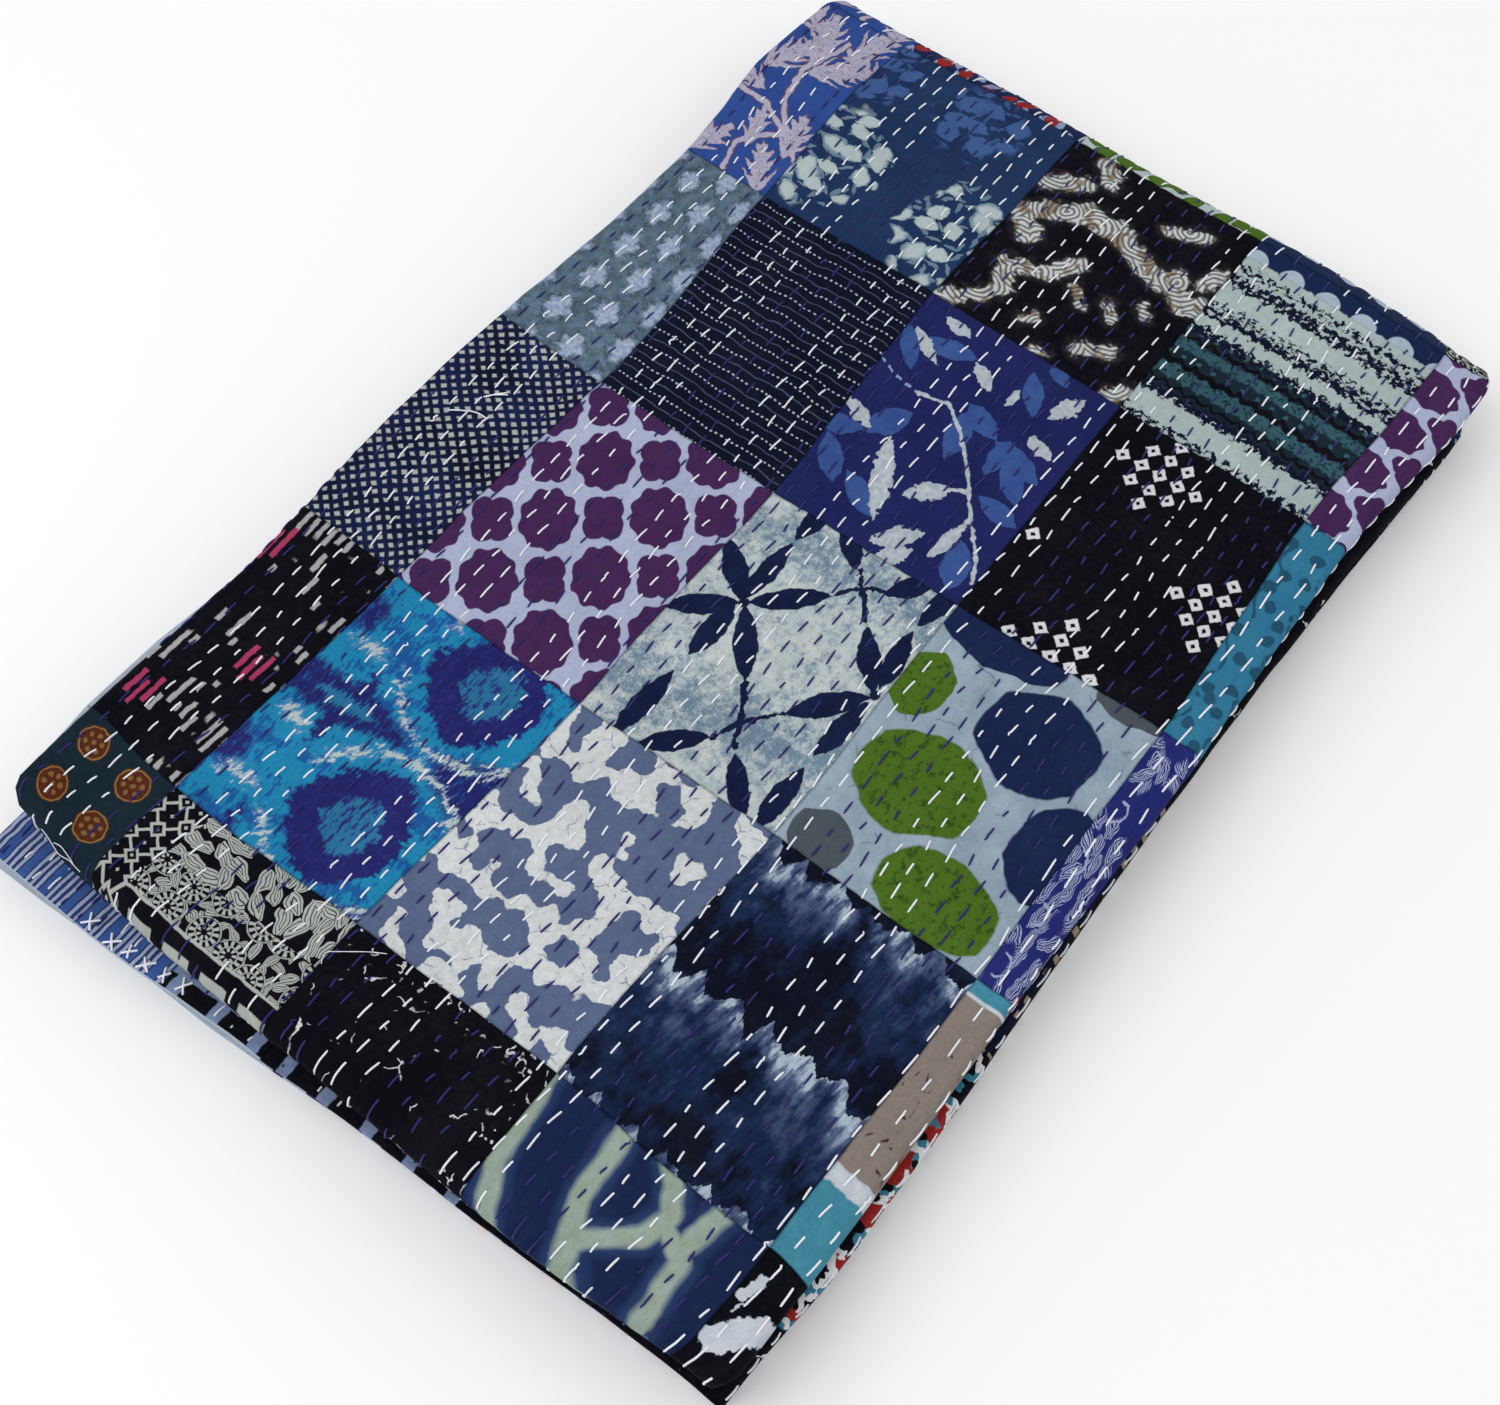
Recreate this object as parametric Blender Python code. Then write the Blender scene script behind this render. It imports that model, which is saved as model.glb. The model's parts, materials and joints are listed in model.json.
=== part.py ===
"""A patchwork kantha quilt, folded in half twice each way into a flat bundle of sixteen layers.

The folded cloth is one closed body: a band of cloth, folded in half twice across its width, is
swept along a line that is itself folded in half twice. X runs along the bundle, Y across it and
Z up, and the bundle rests on its flat underside with its top face quilted by rows of stitching.
"""

import math
from collections import namedtuple

import bmesh
import bpy

MM = 0.001

# The quilt laid flat
SHEET_LENGTH = 2330 * MM
SHEET_WIDTH = 1505 * MM
CLOTH = 2.1 * MM

# Spaces left between layers, and between the four passes of four layers each
LAYER_GAP = 0.5 * MM
PASS_GAP = 0.8 * MM

# Quilting rows that run along the top face
STITCH_ROWS = 42
STITCH_DEPTH = 0.5 * MM

# Unevenness
EDGE_REACH = 120 * MM   # how far in from an edge its shift is felt
CORNER_TUCK = 3.0 * MM  # how far each fold narrows at its outermost line
HEM_SLANT = 0.35        # lean of the stacked hem, as length per height
SWELL = 0.012           # rise and fall of the top face, as a share of the height
RIPPLE = 1.1 * MM       # rise and fall of the middle layers

# Steps of the mesh: along a flat pass and round its folds, in the order that the cloth meets them
LENGTH_STEPS = 6
LENGTH_TURN_STEPS = (5, 5, 8)
WIDTH_STEPS = 7
WIDTH_TURN_STEPS = (3, 3, 5)
ROWS_PER_STEP = STITCH_ROWS // WIDTH_STEPS

LAYER_PITCH = CLOTH + LAYER_GAP
PASS_THICKNESS = 3 * LAYER_PITCH + CLOTH
PASS_PITCH = PASS_THICKNESS + PASS_GAP
HEIGHT = 3 * PASS_PITCH + PASS_THICKNESS

# A cloth folded in half twice lies in four leaves, met in this order from hem to hem.
# Heights are in pitches from the middle of the stack.
THIRD, SECOND, TOP, BOTTOM = range(4)
LEAF_HEIGHT = {THIRD: -0.5, SECOND: 0.5, TOP: 1.5, BOTTOM: -1.5}

# The fold from TOP to BOTTOM is a little blunt and goes round the one from THIRD to SECOND,
# which lies further in by this share of the pitch.
OUTER_SQUASH = 0.75
INNER_INSET = 0.38

# Outward shift in millimetres of each fold and hem, as (share of the way along, shift).
# Long edges run from the hem end, X low, and short edges from the near edge, Y low.
NEAR_EDGE = {
    THIRD: ((0.00, -1.5), (0.13, 2.8), (0.50, -1.3), (0.75, 0.2), (1.00, 5.6)),
    SECOND: ((0.00, -4.0), (0.40, -3.5), (0.80, -4.5), (1.00, 2.0)),
    TOP: ((0.00, -2.5), (0.12, -1.4), (0.35, -2.7), (0.50, -1.3), (0.75, -2.9), (1.00, 5.0)),
    BOTTOM: ((0.00, -3.0), (0.20, 1.0), (0.55, -2.5), (1.00, 3.5)),
}
FAR_EDGE = {
    THIRD: ((0.00, 0.3), (0.30, -2.5), (0.70, -1.0), (1.00, -6.0)),
    SECOND: ((0.00, -3.0), (0.50, -1.0), (1.00, -5.0)),
    TOP: ((0.00, 0.5), (0.25, -0.4), (0.46, 2.9), (0.76, -4.5), (0.92, 5.0), (1.00, 2.0)),
    BOTTOM: ((0.00, 3.0), (0.25, 0.0), (0.60, -3.0), (1.00, -4.0)),
}
THIRD_HEM = ((0.00, -5.0), (0.40, 0.5), (0.60, 4.0), (0.85, 9.5), (1.00, 9.0))
BOTTOM_HEM = ((0.00, -7.0), (0.40, -1.0), (0.75, 6.0), (1.00, 10.3))
SHORT_FOLD = ((0.00, -4.6), (0.25, 0.6), (0.75, -0.8), (0.90, -3.3), (1.00, -9.8))
INNER_FOLD = ((0.00, -9.0), (0.30, -2.0), (1.00, -1.5))
OUTER_FOLD = ((0.00, -9.5), (0.12, -4.0), (0.28, -0.5), (0.60, 0.2), (1.00, -0.5))
HEM_END = {THIRD: THIRD_HEM, SECOND: SHORT_FOLD, TOP: SHORT_FOLD, BOTTOM: BOTTOM_HEM}
FOLD_END = {THIRD: INNER_FOLD, SECOND: INNER_FOLD, TOP: OUTER_FOLD, BOTTOM: OUTER_FOLD}

# The cloth's own hems lie along the far edge, on the third and bottom layers of each pass.
FAR_HEM = {
    THIRD: ((0.00, 1.0), (0.12, 5.0), (0.24, 0.5), (1.00, -2.0)),
    BOTTOM: ((0.00, -3.0), (0.50, -1.0), (1.00, -3.5)),
}

QUILT_COLOR = (0.035, 0.055, 0.16, 1.0)
QUILT_ROUGHNESS = 0.9

# One place on a fold line: where it is, which way the cloth's face looks there, which leaf it is
# on, and how far round the turn to the next leaf it has come.
Spot = namedtuple("Spot", "along height face_along face_height leaf turned")


def turn_depths(pitch):
    """How far the three turns of a fold line reach past their centres."""
    return (0.5 * pitch, 0.5 * pitch, 1.5 * pitch * OUTER_SQUASH)


def half_run(cloth_length, pitch, thickness):
    """Half of a flat run, from the cloth's length and what its turns and hems take up."""
    half_heights = (0.5 * pitch, 0.5 * pitch, 1.5 * pitch)
    turns = sum(math.pi * math.hypot(depth, half_height) / math.sqrt(2.0)
                for depth, half_height in zip(turn_depths(pitch), half_heights))
    hems = 2 * (0.5 * pitch + 0.5 * thickness)
    return (cloth_length - turns - hems + 2 * INNER_INSET * pitch) / 8


HALF_LENGTH = half_run(SHEET_LENGTH, PASS_PITCH, PASS_THICKNESS)
HALF_WIDTH = half_run(SHEET_WIDTH, LAYER_PITCH, CLOTH)


def fold_line(half, pitch, thickness, first_side, run_steps, turn_steps):
    """Spots of a line folded in half twice; its first turn lies on the first_side, +1 or -1."""
    hem = 0.5 * pitch + 0.5 * thickness
    turn_centre = (half - INNER_INSET * pitch, half, half)
    depths = turn_depths(pitch)
    spots = []
    for leaf in (THIRD, SECOND, TOP, BOTTOM):
        heading = first_side if leaf in (THIRD, TOP) else -first_side
        height = LEAF_HEIGHT[leaf] * pitch
        reach_back = half + hem if leaf == THIRD else turn_centre[leaf - 1]
        reach_on = half + hem if leaf == BOTTOM else turn_centre[leaf]
        for step in range(run_steps + 1):
            along = heading * (-reach_back + (reach_back + reach_on) * step / run_steps)
            spots.append(Spot(along, height, 0.0, first_side * heading, leaf, 0.0))
        if leaf == BOTTOM:
            break
        climb = 0.5 * (LEAF_HEIGHT[leaf + 1] * pitch - height)
        for step in range(1, turn_steps[leaf]):
            turned = step / turn_steps[leaf]
            angle = math.pi * turned
            along = heading * (reach_on + depths[leaf] * math.sin(angle))
            tangent_along = heading * depths[leaf] * math.cos(angle)
            tangent_height = climb * math.sin(angle)
            scale = first_side / math.hypot(tangent_along, tangent_height)
            spots.append(Spot(along, height + climb * (1 - math.cos(angle)),
                              -tangent_height * scale, tangent_along * scale, leaf, turned))
    return spots


def ease(share):
    """Smooth rise from 0 to 1."""
    share = min(1.0, max(0.0, share))
    return share * share * (3 - 2 * share)


def shift_at(row, share):
    """Outward shift in metres at a share of the way along an edge, eased between its places."""
    share = min(1.0, max(0.0, share))
    for (start, low), (end, high) in zip(row, row[1:]):
        if share <= end:
            return (low + (high - low) * ease((share - start) / (end - start))) * MM
    return row[-1][1] * MM


def pass_shift(table, spot, share):
    """Shift of a long edge, blended from one pass to the next where the cloth turns over."""
    here = shift_at(table[spot.leaf], share)
    if spot.turned == 0.0:
        return here
    return here + (shift_at(table[spot.leaf + 1], share) - here) * ease(spot.turned)


def swell(x, y):
    """Gentle rise and fall of the whole stack over its area."""
    return SWELL * (math.sin(11.0 * x + 1.3) * math.cos(9.0 * y - 0.5) + 0.4 * math.sin(23.0 * x - 17.0 * y))


def ripple(x, y):
    """Rise and fall of the middle layers, which the flat underside and the top don't share."""
    return RIPPLE * (math.sin(17.0 * x + 6.0 * y + 0.8) + 0.5 * math.sin(31.0 * x - 12.0 * y + 2.0))


def cloth_point(run, layer, lift):
    """A point of the folded cloth: run is the Spot along its length, layer the one across its
    width, and lift the distance from the middle of the cloth towards its face."""
    y = layer.along + lift * layer.face_along
    rise = layer.height + lift * layer.face_height
    x = run.along + rise * run.face_along
    z = run.height + rise * run.face_height + 0.5 * HEIGHT
    length_share = 0.5 + 0.5 * run.along / HALF_LENGTH
    width_share = 0.5 + 0.5 * layer.along / HALF_WIDTH

    tuck = CORNER_TUCK * math.sin(math.pi * run.turned) ** 2
    near = pass_shift(NEAR_EDGE, run, length_share) - tuck
    far = pass_shift(FAR_EDGE, run, length_share) - tuck
    if layer.leaf in FAR_HEM:
        far += shift_at(FAR_HEM[layer.leaf], length_share)
    near *= ease(1 - (y + HALF_WIDTH) / EDGE_REACH)
    far *= ease(1 - (HALF_WIDTH - y) / EDGE_REACH)

    hem_end = shift_at(HEM_END[run.leaf], width_share)
    if run.leaf in (THIRD, BOTTOM):
        hem_end += HEM_SLANT * rise
    fold_end = shift_at(FOLD_END[run.leaf], width_share)
    hem_end *= ease(1 - (x + HALF_LENGTH) / EDGE_REACH)
    fold_end *= ease(1 - (HALF_LENGTH - x) / EDGE_REACH)

    x += fold_end - hem_end
    y += far - near
    z += z * swell(x, y) + math.sin(math.pi * z / HEIGHT) * ripple(x, y)
    return x, y, z


def between(start, end, share):
    """The Spot at a share of the way between two on one flat run."""
    along = start.along + (end.along - start.along) * share
    return start._replace(along=along)


def face_chains(layers, quilted):
    """The cloth's face as a chain of (Spot, lift) from each Spot across the width to the next.
    Where it is quilted, the top layer dips at each row of stitches."""
    chains = []
    for start, end in zip(layers, layers[1:]):
        steps = 1
        if quilted and start.leaf == TOP and end.leaf == TOP and end.turned == 0.0:
            steps = 2 * ROWS_PER_STEP
        chain = []
        for step in range(steps):
            dip = STITCH_DEPTH if step % 2 else 0.0
            chain.append((between(start, end, step / steps), 0.5 * CLOTH - dip))
        chains.append(chain + [(end, 0.5 * CLOTH)])
    return chains


def is_quilted(run):
    """Whether the face here is on the top pass or on the upper half of a fold beside it."""
    if run.leaf == TOP:
        return run.turned <= 0.5
    return run.leaf == SECOND and run.turned >= 0.5


def join_chains(mesh, first, second):
    """Faces between two neighbouring chains of vertices, of which one may be finer."""
    if len(first) == len(second):
        for a, b, c, d in zip(first, first[1:], second[1:], second):
            mesh.faces.new((a, b, c, d))
        return
    coarse, fine = (first, second) if len(first) < len(second) else (second, first)
    middle = len(fine) // 2
    mesh.faces.new((coarse[0], fine[middle], coarse[1]))
    for index in range(len(fine) - 1):
        corner = coarse[0] if index < middle else coarse[1]
        mesh.faces.new((corner, fine[index], fine[index + 1]))


def add_ring(mesh, run, layers):
    """Vertices of the cloth's face, in chains, and of its back, at one place along its length."""
    chains = []
    for chain in face_chains(layers, is_quilted(run)):
        shared = [chains[-1][-1]] if chains else [mesh.verts.new(cloth_point(run, *chain[0]))]
        chains.append(shared + [mesh.verts.new(cloth_point(run, *place)) for place in chain[1:]])
    back = [mesh.verts.new(cloth_point(run, layer, -0.5 * CLOTH)) for layer in layers]
    return chains, back


def close_hem(mesh, chains, back):
    """The end of the cloth, between its face and its back."""
    for chain, start, end in zip(chains, back, back[1:]):
        mesh.faces.new(chain + [end, start])


def folded_cloth():
    """Mesh of the whole quilt, with its underside on the floor and centred over the origin."""
    runs = fold_line(HALF_LENGTH, PASS_PITCH, PASS_THICKNESS, 1, LENGTH_STEPS, LENGTH_TURN_STEPS)
    layers = fold_line(HALF_WIDTH, LAYER_PITCH, CLOTH, -1, WIDTH_STEPS, WIDTH_TURN_STEPS)
    mesh = bmesh.new()
    rings = [add_ring(mesh, run, layers) for run in runs]
    for (chains, back), (next_chains, next_back) in zip(rings, rings[1:]):
        for chain, next_chain in zip(chains, next_chains):
            join_chains(mesh, chain, next_chain)
        join_chains(mesh, back, next_back)
        for face_vert, back_vert, next_face_vert, next_back_vert in (
                (chains[0][0], back[0], next_chains[0][0], next_back[0]),
                (chains[-1][-1], back[-1], next_chains[-1][-1], next_back[-1])):
            mesh.faces.new((face_vert, back_vert, next_back_vert, next_face_vert))
    close_hem(mesh, *rings[0])
    close_hem(mesh, *rings[-1])
    bmesh.ops.recalc_face_normals(mesh, faces=mesh.faces)

    xs = [vert.co.x for vert in mesh.verts]
    ys = [vert.co.y for vert in mesh.verts]
    centre = (0.5 * (min(xs) + max(xs)), 0.5 * (min(ys) + max(ys)), 0.0)
    bmesh.ops.translate(mesh, verts=mesh.verts, vec=(-centre[0], -centre[1], 0.0))
    return mesh


def cotton():
    """Plain quilted cotton."""
    material = bpy.data.materials.new("cotton")
    material.use_nodes = True
    shader = material.node_tree.nodes["Principled BSDF"]
    shader.inputs["Base Color"].default_value = QUILT_COLOR
    shader.inputs["Roughness"].default_value = QUILT_ROUGHNESS
    shader.inputs["Metallic"].default_value = 0.0
    return material


def build():
    """Clear the scene and model the quilt."""
    for old in list(bpy.data.objects):
        bpy.data.objects.remove(old, do_unlink=True)
    mesh = bpy.data.meshes.new("quilt")
    body = folded_cloth()
    body.to_mesh(mesh)
    body.free()
    mesh.materials.append(cotton())
    mesh.shade_smooth()
    mesh.set_sharp_from_angle(angle=math.radians(50))
    quilt = bpy.data.objects.new("quilt", mesh)
    bpy.context.scene.collection.objects.link(quilt)


build()
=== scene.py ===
"""A folded patchwork quilt: sixteen layers of printed cotton, held by rows of running stitch."""

import sys
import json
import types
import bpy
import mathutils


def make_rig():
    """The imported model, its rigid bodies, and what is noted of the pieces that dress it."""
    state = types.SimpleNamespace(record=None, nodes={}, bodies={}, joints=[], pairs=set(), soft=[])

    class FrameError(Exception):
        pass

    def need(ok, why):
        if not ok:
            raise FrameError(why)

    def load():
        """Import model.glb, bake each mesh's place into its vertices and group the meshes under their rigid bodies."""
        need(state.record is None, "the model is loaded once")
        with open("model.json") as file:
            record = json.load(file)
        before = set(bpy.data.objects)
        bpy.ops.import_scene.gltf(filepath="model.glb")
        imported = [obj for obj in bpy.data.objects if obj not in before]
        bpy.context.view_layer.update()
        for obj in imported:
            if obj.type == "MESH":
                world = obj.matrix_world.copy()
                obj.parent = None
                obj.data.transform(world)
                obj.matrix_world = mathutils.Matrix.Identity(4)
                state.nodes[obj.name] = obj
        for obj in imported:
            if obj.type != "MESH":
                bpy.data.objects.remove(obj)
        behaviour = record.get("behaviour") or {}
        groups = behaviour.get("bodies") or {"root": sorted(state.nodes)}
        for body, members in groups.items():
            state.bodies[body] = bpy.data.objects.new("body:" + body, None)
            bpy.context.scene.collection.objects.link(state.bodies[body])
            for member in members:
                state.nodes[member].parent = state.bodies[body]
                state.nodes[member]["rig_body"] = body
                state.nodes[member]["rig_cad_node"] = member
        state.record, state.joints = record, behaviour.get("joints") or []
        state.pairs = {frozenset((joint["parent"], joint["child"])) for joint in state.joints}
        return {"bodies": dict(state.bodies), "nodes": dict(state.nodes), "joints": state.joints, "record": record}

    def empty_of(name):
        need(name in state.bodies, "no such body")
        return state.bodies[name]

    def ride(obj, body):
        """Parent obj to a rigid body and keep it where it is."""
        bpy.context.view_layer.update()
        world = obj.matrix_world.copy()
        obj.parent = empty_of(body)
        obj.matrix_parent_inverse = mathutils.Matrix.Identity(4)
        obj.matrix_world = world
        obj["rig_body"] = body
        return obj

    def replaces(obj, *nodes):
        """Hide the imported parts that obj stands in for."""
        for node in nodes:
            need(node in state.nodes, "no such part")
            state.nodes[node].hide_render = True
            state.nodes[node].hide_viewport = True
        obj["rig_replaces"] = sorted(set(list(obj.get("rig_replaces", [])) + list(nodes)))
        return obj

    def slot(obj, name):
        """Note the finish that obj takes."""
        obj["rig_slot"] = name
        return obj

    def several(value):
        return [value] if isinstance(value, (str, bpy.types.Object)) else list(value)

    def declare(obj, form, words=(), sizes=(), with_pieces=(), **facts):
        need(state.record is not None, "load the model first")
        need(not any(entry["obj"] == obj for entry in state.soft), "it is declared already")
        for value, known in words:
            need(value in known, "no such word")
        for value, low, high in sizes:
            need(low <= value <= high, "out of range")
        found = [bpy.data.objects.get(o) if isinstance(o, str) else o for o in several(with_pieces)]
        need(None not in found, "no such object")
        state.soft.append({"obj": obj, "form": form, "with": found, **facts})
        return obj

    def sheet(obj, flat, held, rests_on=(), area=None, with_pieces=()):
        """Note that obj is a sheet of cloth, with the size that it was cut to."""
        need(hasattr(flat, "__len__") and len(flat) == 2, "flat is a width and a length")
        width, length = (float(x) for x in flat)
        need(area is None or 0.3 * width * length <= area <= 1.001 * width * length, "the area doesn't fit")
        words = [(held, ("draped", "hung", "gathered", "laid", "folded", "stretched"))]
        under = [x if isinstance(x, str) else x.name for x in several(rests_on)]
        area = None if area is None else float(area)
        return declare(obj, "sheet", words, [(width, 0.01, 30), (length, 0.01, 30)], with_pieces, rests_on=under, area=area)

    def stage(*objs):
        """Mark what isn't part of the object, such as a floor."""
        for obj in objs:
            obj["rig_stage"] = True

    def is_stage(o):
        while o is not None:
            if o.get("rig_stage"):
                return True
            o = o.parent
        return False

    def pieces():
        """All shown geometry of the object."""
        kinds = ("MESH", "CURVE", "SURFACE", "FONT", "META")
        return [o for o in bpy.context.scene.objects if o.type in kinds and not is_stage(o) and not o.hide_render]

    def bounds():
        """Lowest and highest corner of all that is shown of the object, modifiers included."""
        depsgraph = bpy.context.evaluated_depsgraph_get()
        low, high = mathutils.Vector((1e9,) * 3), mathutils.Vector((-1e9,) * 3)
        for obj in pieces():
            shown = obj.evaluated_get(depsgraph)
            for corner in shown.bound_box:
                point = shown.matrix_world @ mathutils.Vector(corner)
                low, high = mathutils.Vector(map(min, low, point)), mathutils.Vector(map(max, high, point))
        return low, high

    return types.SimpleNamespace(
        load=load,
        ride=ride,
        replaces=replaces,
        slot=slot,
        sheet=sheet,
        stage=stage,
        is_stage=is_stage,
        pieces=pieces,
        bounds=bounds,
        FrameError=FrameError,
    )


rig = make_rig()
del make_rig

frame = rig.load()

import json
import math
import random
from collections import namedtuple
from functools import reduce

import bmesh
import bpy
from bpy.props import FloatProperty, FloatVectorProperty, PointerProperty
from mathutils import Matrix, Vector, noise

bl_info = {
    "name": "Folded Quilt",
    "version": (1, 0, 0),
    "blender": (4, 5, 0),
    "location": "View3D > Sidebar > Quilt",
    "description": "Builds a folded patchwork quilt with printed patches and running stitches",
    "category": "Add Mesh",
}

MM = 0.001

# A cloth folded in half twice lies in four leaves, met in this order from hem to hem.
THIRD, SECOND, TOP, BOTTOM = range(4)
LEAF_HEIGHT = {THIRD: -0.5, SECOND: 0.5, TOP: 1.5, BOTTOM: -1.5}
OUTER_SQUASH = 0.75     # how blunt the outer turns are
INNER_INSET = 0.38      # how far the inner turns lie in, as a share of the pitch

EDGE_REACH = 120 * MM   # how far in from an edge its shift is felt
CORNER_TUCK = 3 * MM    # how far each fold narrows at its outermost line
HEM_SLANT = 0.35        # lean of the stacked hem
SWELL = 0.012           # rise and fall of the top face, as a share of the height
RIPPLE = 1.1 * MM       # rise and fall of the middle layers
CENTRE = (-2.580 * MM, -0.883 * MM)
DRIFT_SEED = 1          # picks how the rows and seams drift, the same in each run

# Outward shift in millimetres of each fold and hem, as (share of the way along, shift).
NEAR_EDGE = {
    THIRD: ((0.00, -1.5), (0.13, 2.8), (0.50, -1.3), (0.75, 0.2), (1.00, 5.6)),
    SECOND: ((0.00, -4.0), (0.40, -3.5), (0.80, -4.5), (1.00, 2.0)),
    TOP: ((0.00, -2.5), (0.12, -1.4), (0.35, -2.7), (0.50, -1.3), (0.75, -2.9), (1.00, 5.0)),
    BOTTOM: ((0.00, -3.0), (0.20, 1.0), (0.55, -2.5), (1.00, 3.5)),
}
FAR_EDGE = {
    THIRD: ((0.00, 0.3), (0.30, -2.5), (0.70, -1.0), (1.00, -6.0)),
    SECOND: ((0.00, -3.0), (0.50, -1.0), (1.00, -5.0)),
    TOP: ((0.00, 0.5), (0.25, -0.4), (0.46, 2.9), (0.76, -4.5), (0.92, 5.0), (1.00, 2.0)),
    BOTTOM: ((0.00, 3.0), (0.25, 0.0), (0.60, -3.0), (1.00, -4.0)),
}
THIRD_HEM = ((0.00, -5.0), (0.40, 0.5), (0.60, 4.0), (0.85, 9.5), (1.00, 9.0))
BOTTOM_HEM = ((0.00, -7.0), (0.40, -1.0), (0.75, 6.0), (1.00, 10.3))
SHORT_FOLD = ((0.00, -4.6), (0.25, 0.6), (0.75, -0.8), (0.90, -3.3), (1.00, -9.8))
INNER_FOLD = ((0.00, -9.0), (0.30, -2.0), (1.00, -1.5))
OUTER_FOLD = ((0.00, -3.5), (0.12, -0.5), (0.28, 1.6), (0.42, 0.8), (0.60, 0.9), (1.00, 0.3))
HEM_END = {THIRD: THIRD_HEM, SECOND: SHORT_FOLD, TOP: SHORT_FOLD, BOTTOM: BOTTOM_HEM}
FOLD_END = {THIRD: INNER_FOLD, SECOND: INNER_FOLD, TOP: OUTER_FOLD, BOTTOM: OUTER_FOLD}
FAR_HEM = {
    THIRD: ((0.00, 1.0), (0.12, 5.0), (0.24, 0.5), (1.00, -2.0)),
    BOTTOM: ((0.00, -3.0), (0.50, -1.0), (1.00, -3.5)),
}

# How far the seams of the top patches have strayed, in millimetres along and across, at places
# along and across the bundle in millimetres. The outline keeps its place.
STRAY_ALONG = (-300, -231, -102, 27, 156, 285, 300)
STRAY_ACROSS = (194, 134, 34, -67, -167, -194)
STRAY = (
    ((0, 0), (-6.0, 0), (-3.0, 0), (0.5, 0), (4.0, 0), (-3.0, 0), (0, 0)),
    ((0, 1.0), (-5.4, 1.2), (-3.7, -4.2), (0.0, -6.9), (3.2, 4.4), (-4.9, 5.6), (0, 4.0)),
    ((0, 2.0), (-2.5, 2.5), (-3.9, -3.9), (0.5, -4.2), (4.9, 4.2), (-3.5, 3.9), (0, 3.0)),
    ((0, 2.0), (0.5, 2.1), (-0.2, -3.0), (2.5, -1.6), (4.2, 0.7), (-4.5, 0.0), (0, 0.0)),
    ((0, 0.0), (-4.9, -1.9), (-0.9, -3.9), (6.0, -2.8), (2.3, 1.4), (-6.3, 3.9), (0, 3.0)),
    ((0, 0), (-8.0, 0), (0.0, 0), (6.0, 0), (1.0, 0), (-6.3, 0), (0, 0)),
)

# How far the rows of stitches bend towards the far edge, in millimetres, at places along the
# bundle in millimetres: on its far half, then near its near edge
ROW_BEND_ALONG = (-300, -228, -165, -100, -14, 72, 158, 300)
ROW_BEND = ((5.0, 0.3, -3.0, -2.0, 0.0, 1.5, 2.2, 2.2), (5.0, 1.5, -0.8, -1.0, 3.0, -3.5, -3.5, 0.5))

# Loose thread on the top face, as places along and across the bundle and a height over the
# cloth, all in millimetres
THREAD_ENDS = (
    ((-29.5, 169.7, 0.5), (-25.2, 164.3, 1.4), (-23.1, 160.0, 1.6), (-22.6, 156.2, 0.7)),
    ((-14.4, 163.7, 0.5), (-11.2, 161.1, 1.0), (-6.9, 157.4, 0.6)),
    ((-14.0, 162.9, 0.6), (-10.4, 160.6, 1.2), (-6.2, 158.2, 0.5)),
)
HAIRS = (
    ((-285.0, 167.0, 0.5), (-284.0, 160.0, 1.0), (-285.4, 154.0, 1.0), (-284.2, 147.0, 0.8), (-285.0, 140.0, 0.4)),
    ((-284.2, 157.0, 0.5), (-282.6, 151.0, 1.2), (-284.6, 144.0, 0.5)),
    ((-255.0, 31.8, 0.4), (-250.0, 34.9, 0.8), (-245.7, 27.5, 1.0), (-240.5, 21.6, 1.0), (-236.0, 14.2, 0.4)),
)
CROSSED_FROM, CROSSED_TO = 128.0, 74.0    # crossed stitches hold the hem between these places

FACE, BACK, HEM = range(3)
HEM_STEPS = 4                   # faces round a hem
LENGTH_TURN_STEPS = (5, 5, 8)   # coarse cells round each turn, where the cloth is folded in length
WIDTH_TURN_STEPS = (3, 3, 5)    # the same where it is folded in width
MOST_SEAMS = 30                 # more seams than the cloth has; those past its end are left out
GUIDE_STEP = 2.6 * MM           # distance between the points of a row's guide line
LAST_CLOSE_ROW = 17             # past this row the stitches are set wider
WIDER = 1.3
THREAD_SIDES = 6

# Patches are numbered from the corner where both hems meet. These stand first on the top face,
# which begins part way into its first column and its first row.
TOP_COLUMN = 9
TOP_ROW = 7
COLUMNS_BEFORE_TOP = 10
ROWS_BEFORE_TOP = 8
NEAR_ROW = TOP_ROW + 4

TOP_PRINTS = (
    ("slices", "dashes", "checker", "blur_flowers", "sprays", "sprays"),
    ("lattice_floral", "ikat", "quatrefoils", "dotted_lines", "petal_clusters", "red_floral"),
    ("black_crackle", "splotches", "star_petals", "vine", "wood_swirls", "green_sprays"),
    ("net", "tie_dye", "pebbles", "tied_dots", "ragged_stripes", "scallops"),
    ("white_blobs", "taupe_strip", "horn_flowers", "teal_dots", "quatrefoil_edge", "scrolls"),
)

# Prints that show along the near edge below the top face, on the columns of the lower passes
NEAR_PRINTS = {
    0: "black_crackle", 1: "red_spots", 2: "block_bars", 3: "black_crackle", 4: "tied_dots",
    5: "checker", 6: "black_crackle", 7: "block_bars", 8: "red_spots",
    14: "dotted_lines", 15: "black_crackle", 16: "block_bars", 17: "black_crackle", 18: "net",
}

# One place on a fold line: where it is, which way the cloth's face looks there, which leaf it is
# on, and how far round the turn to the next leaf it has come.
Spot = namedtuple("Spot", "along height face_along face_height leaf turned")


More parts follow.
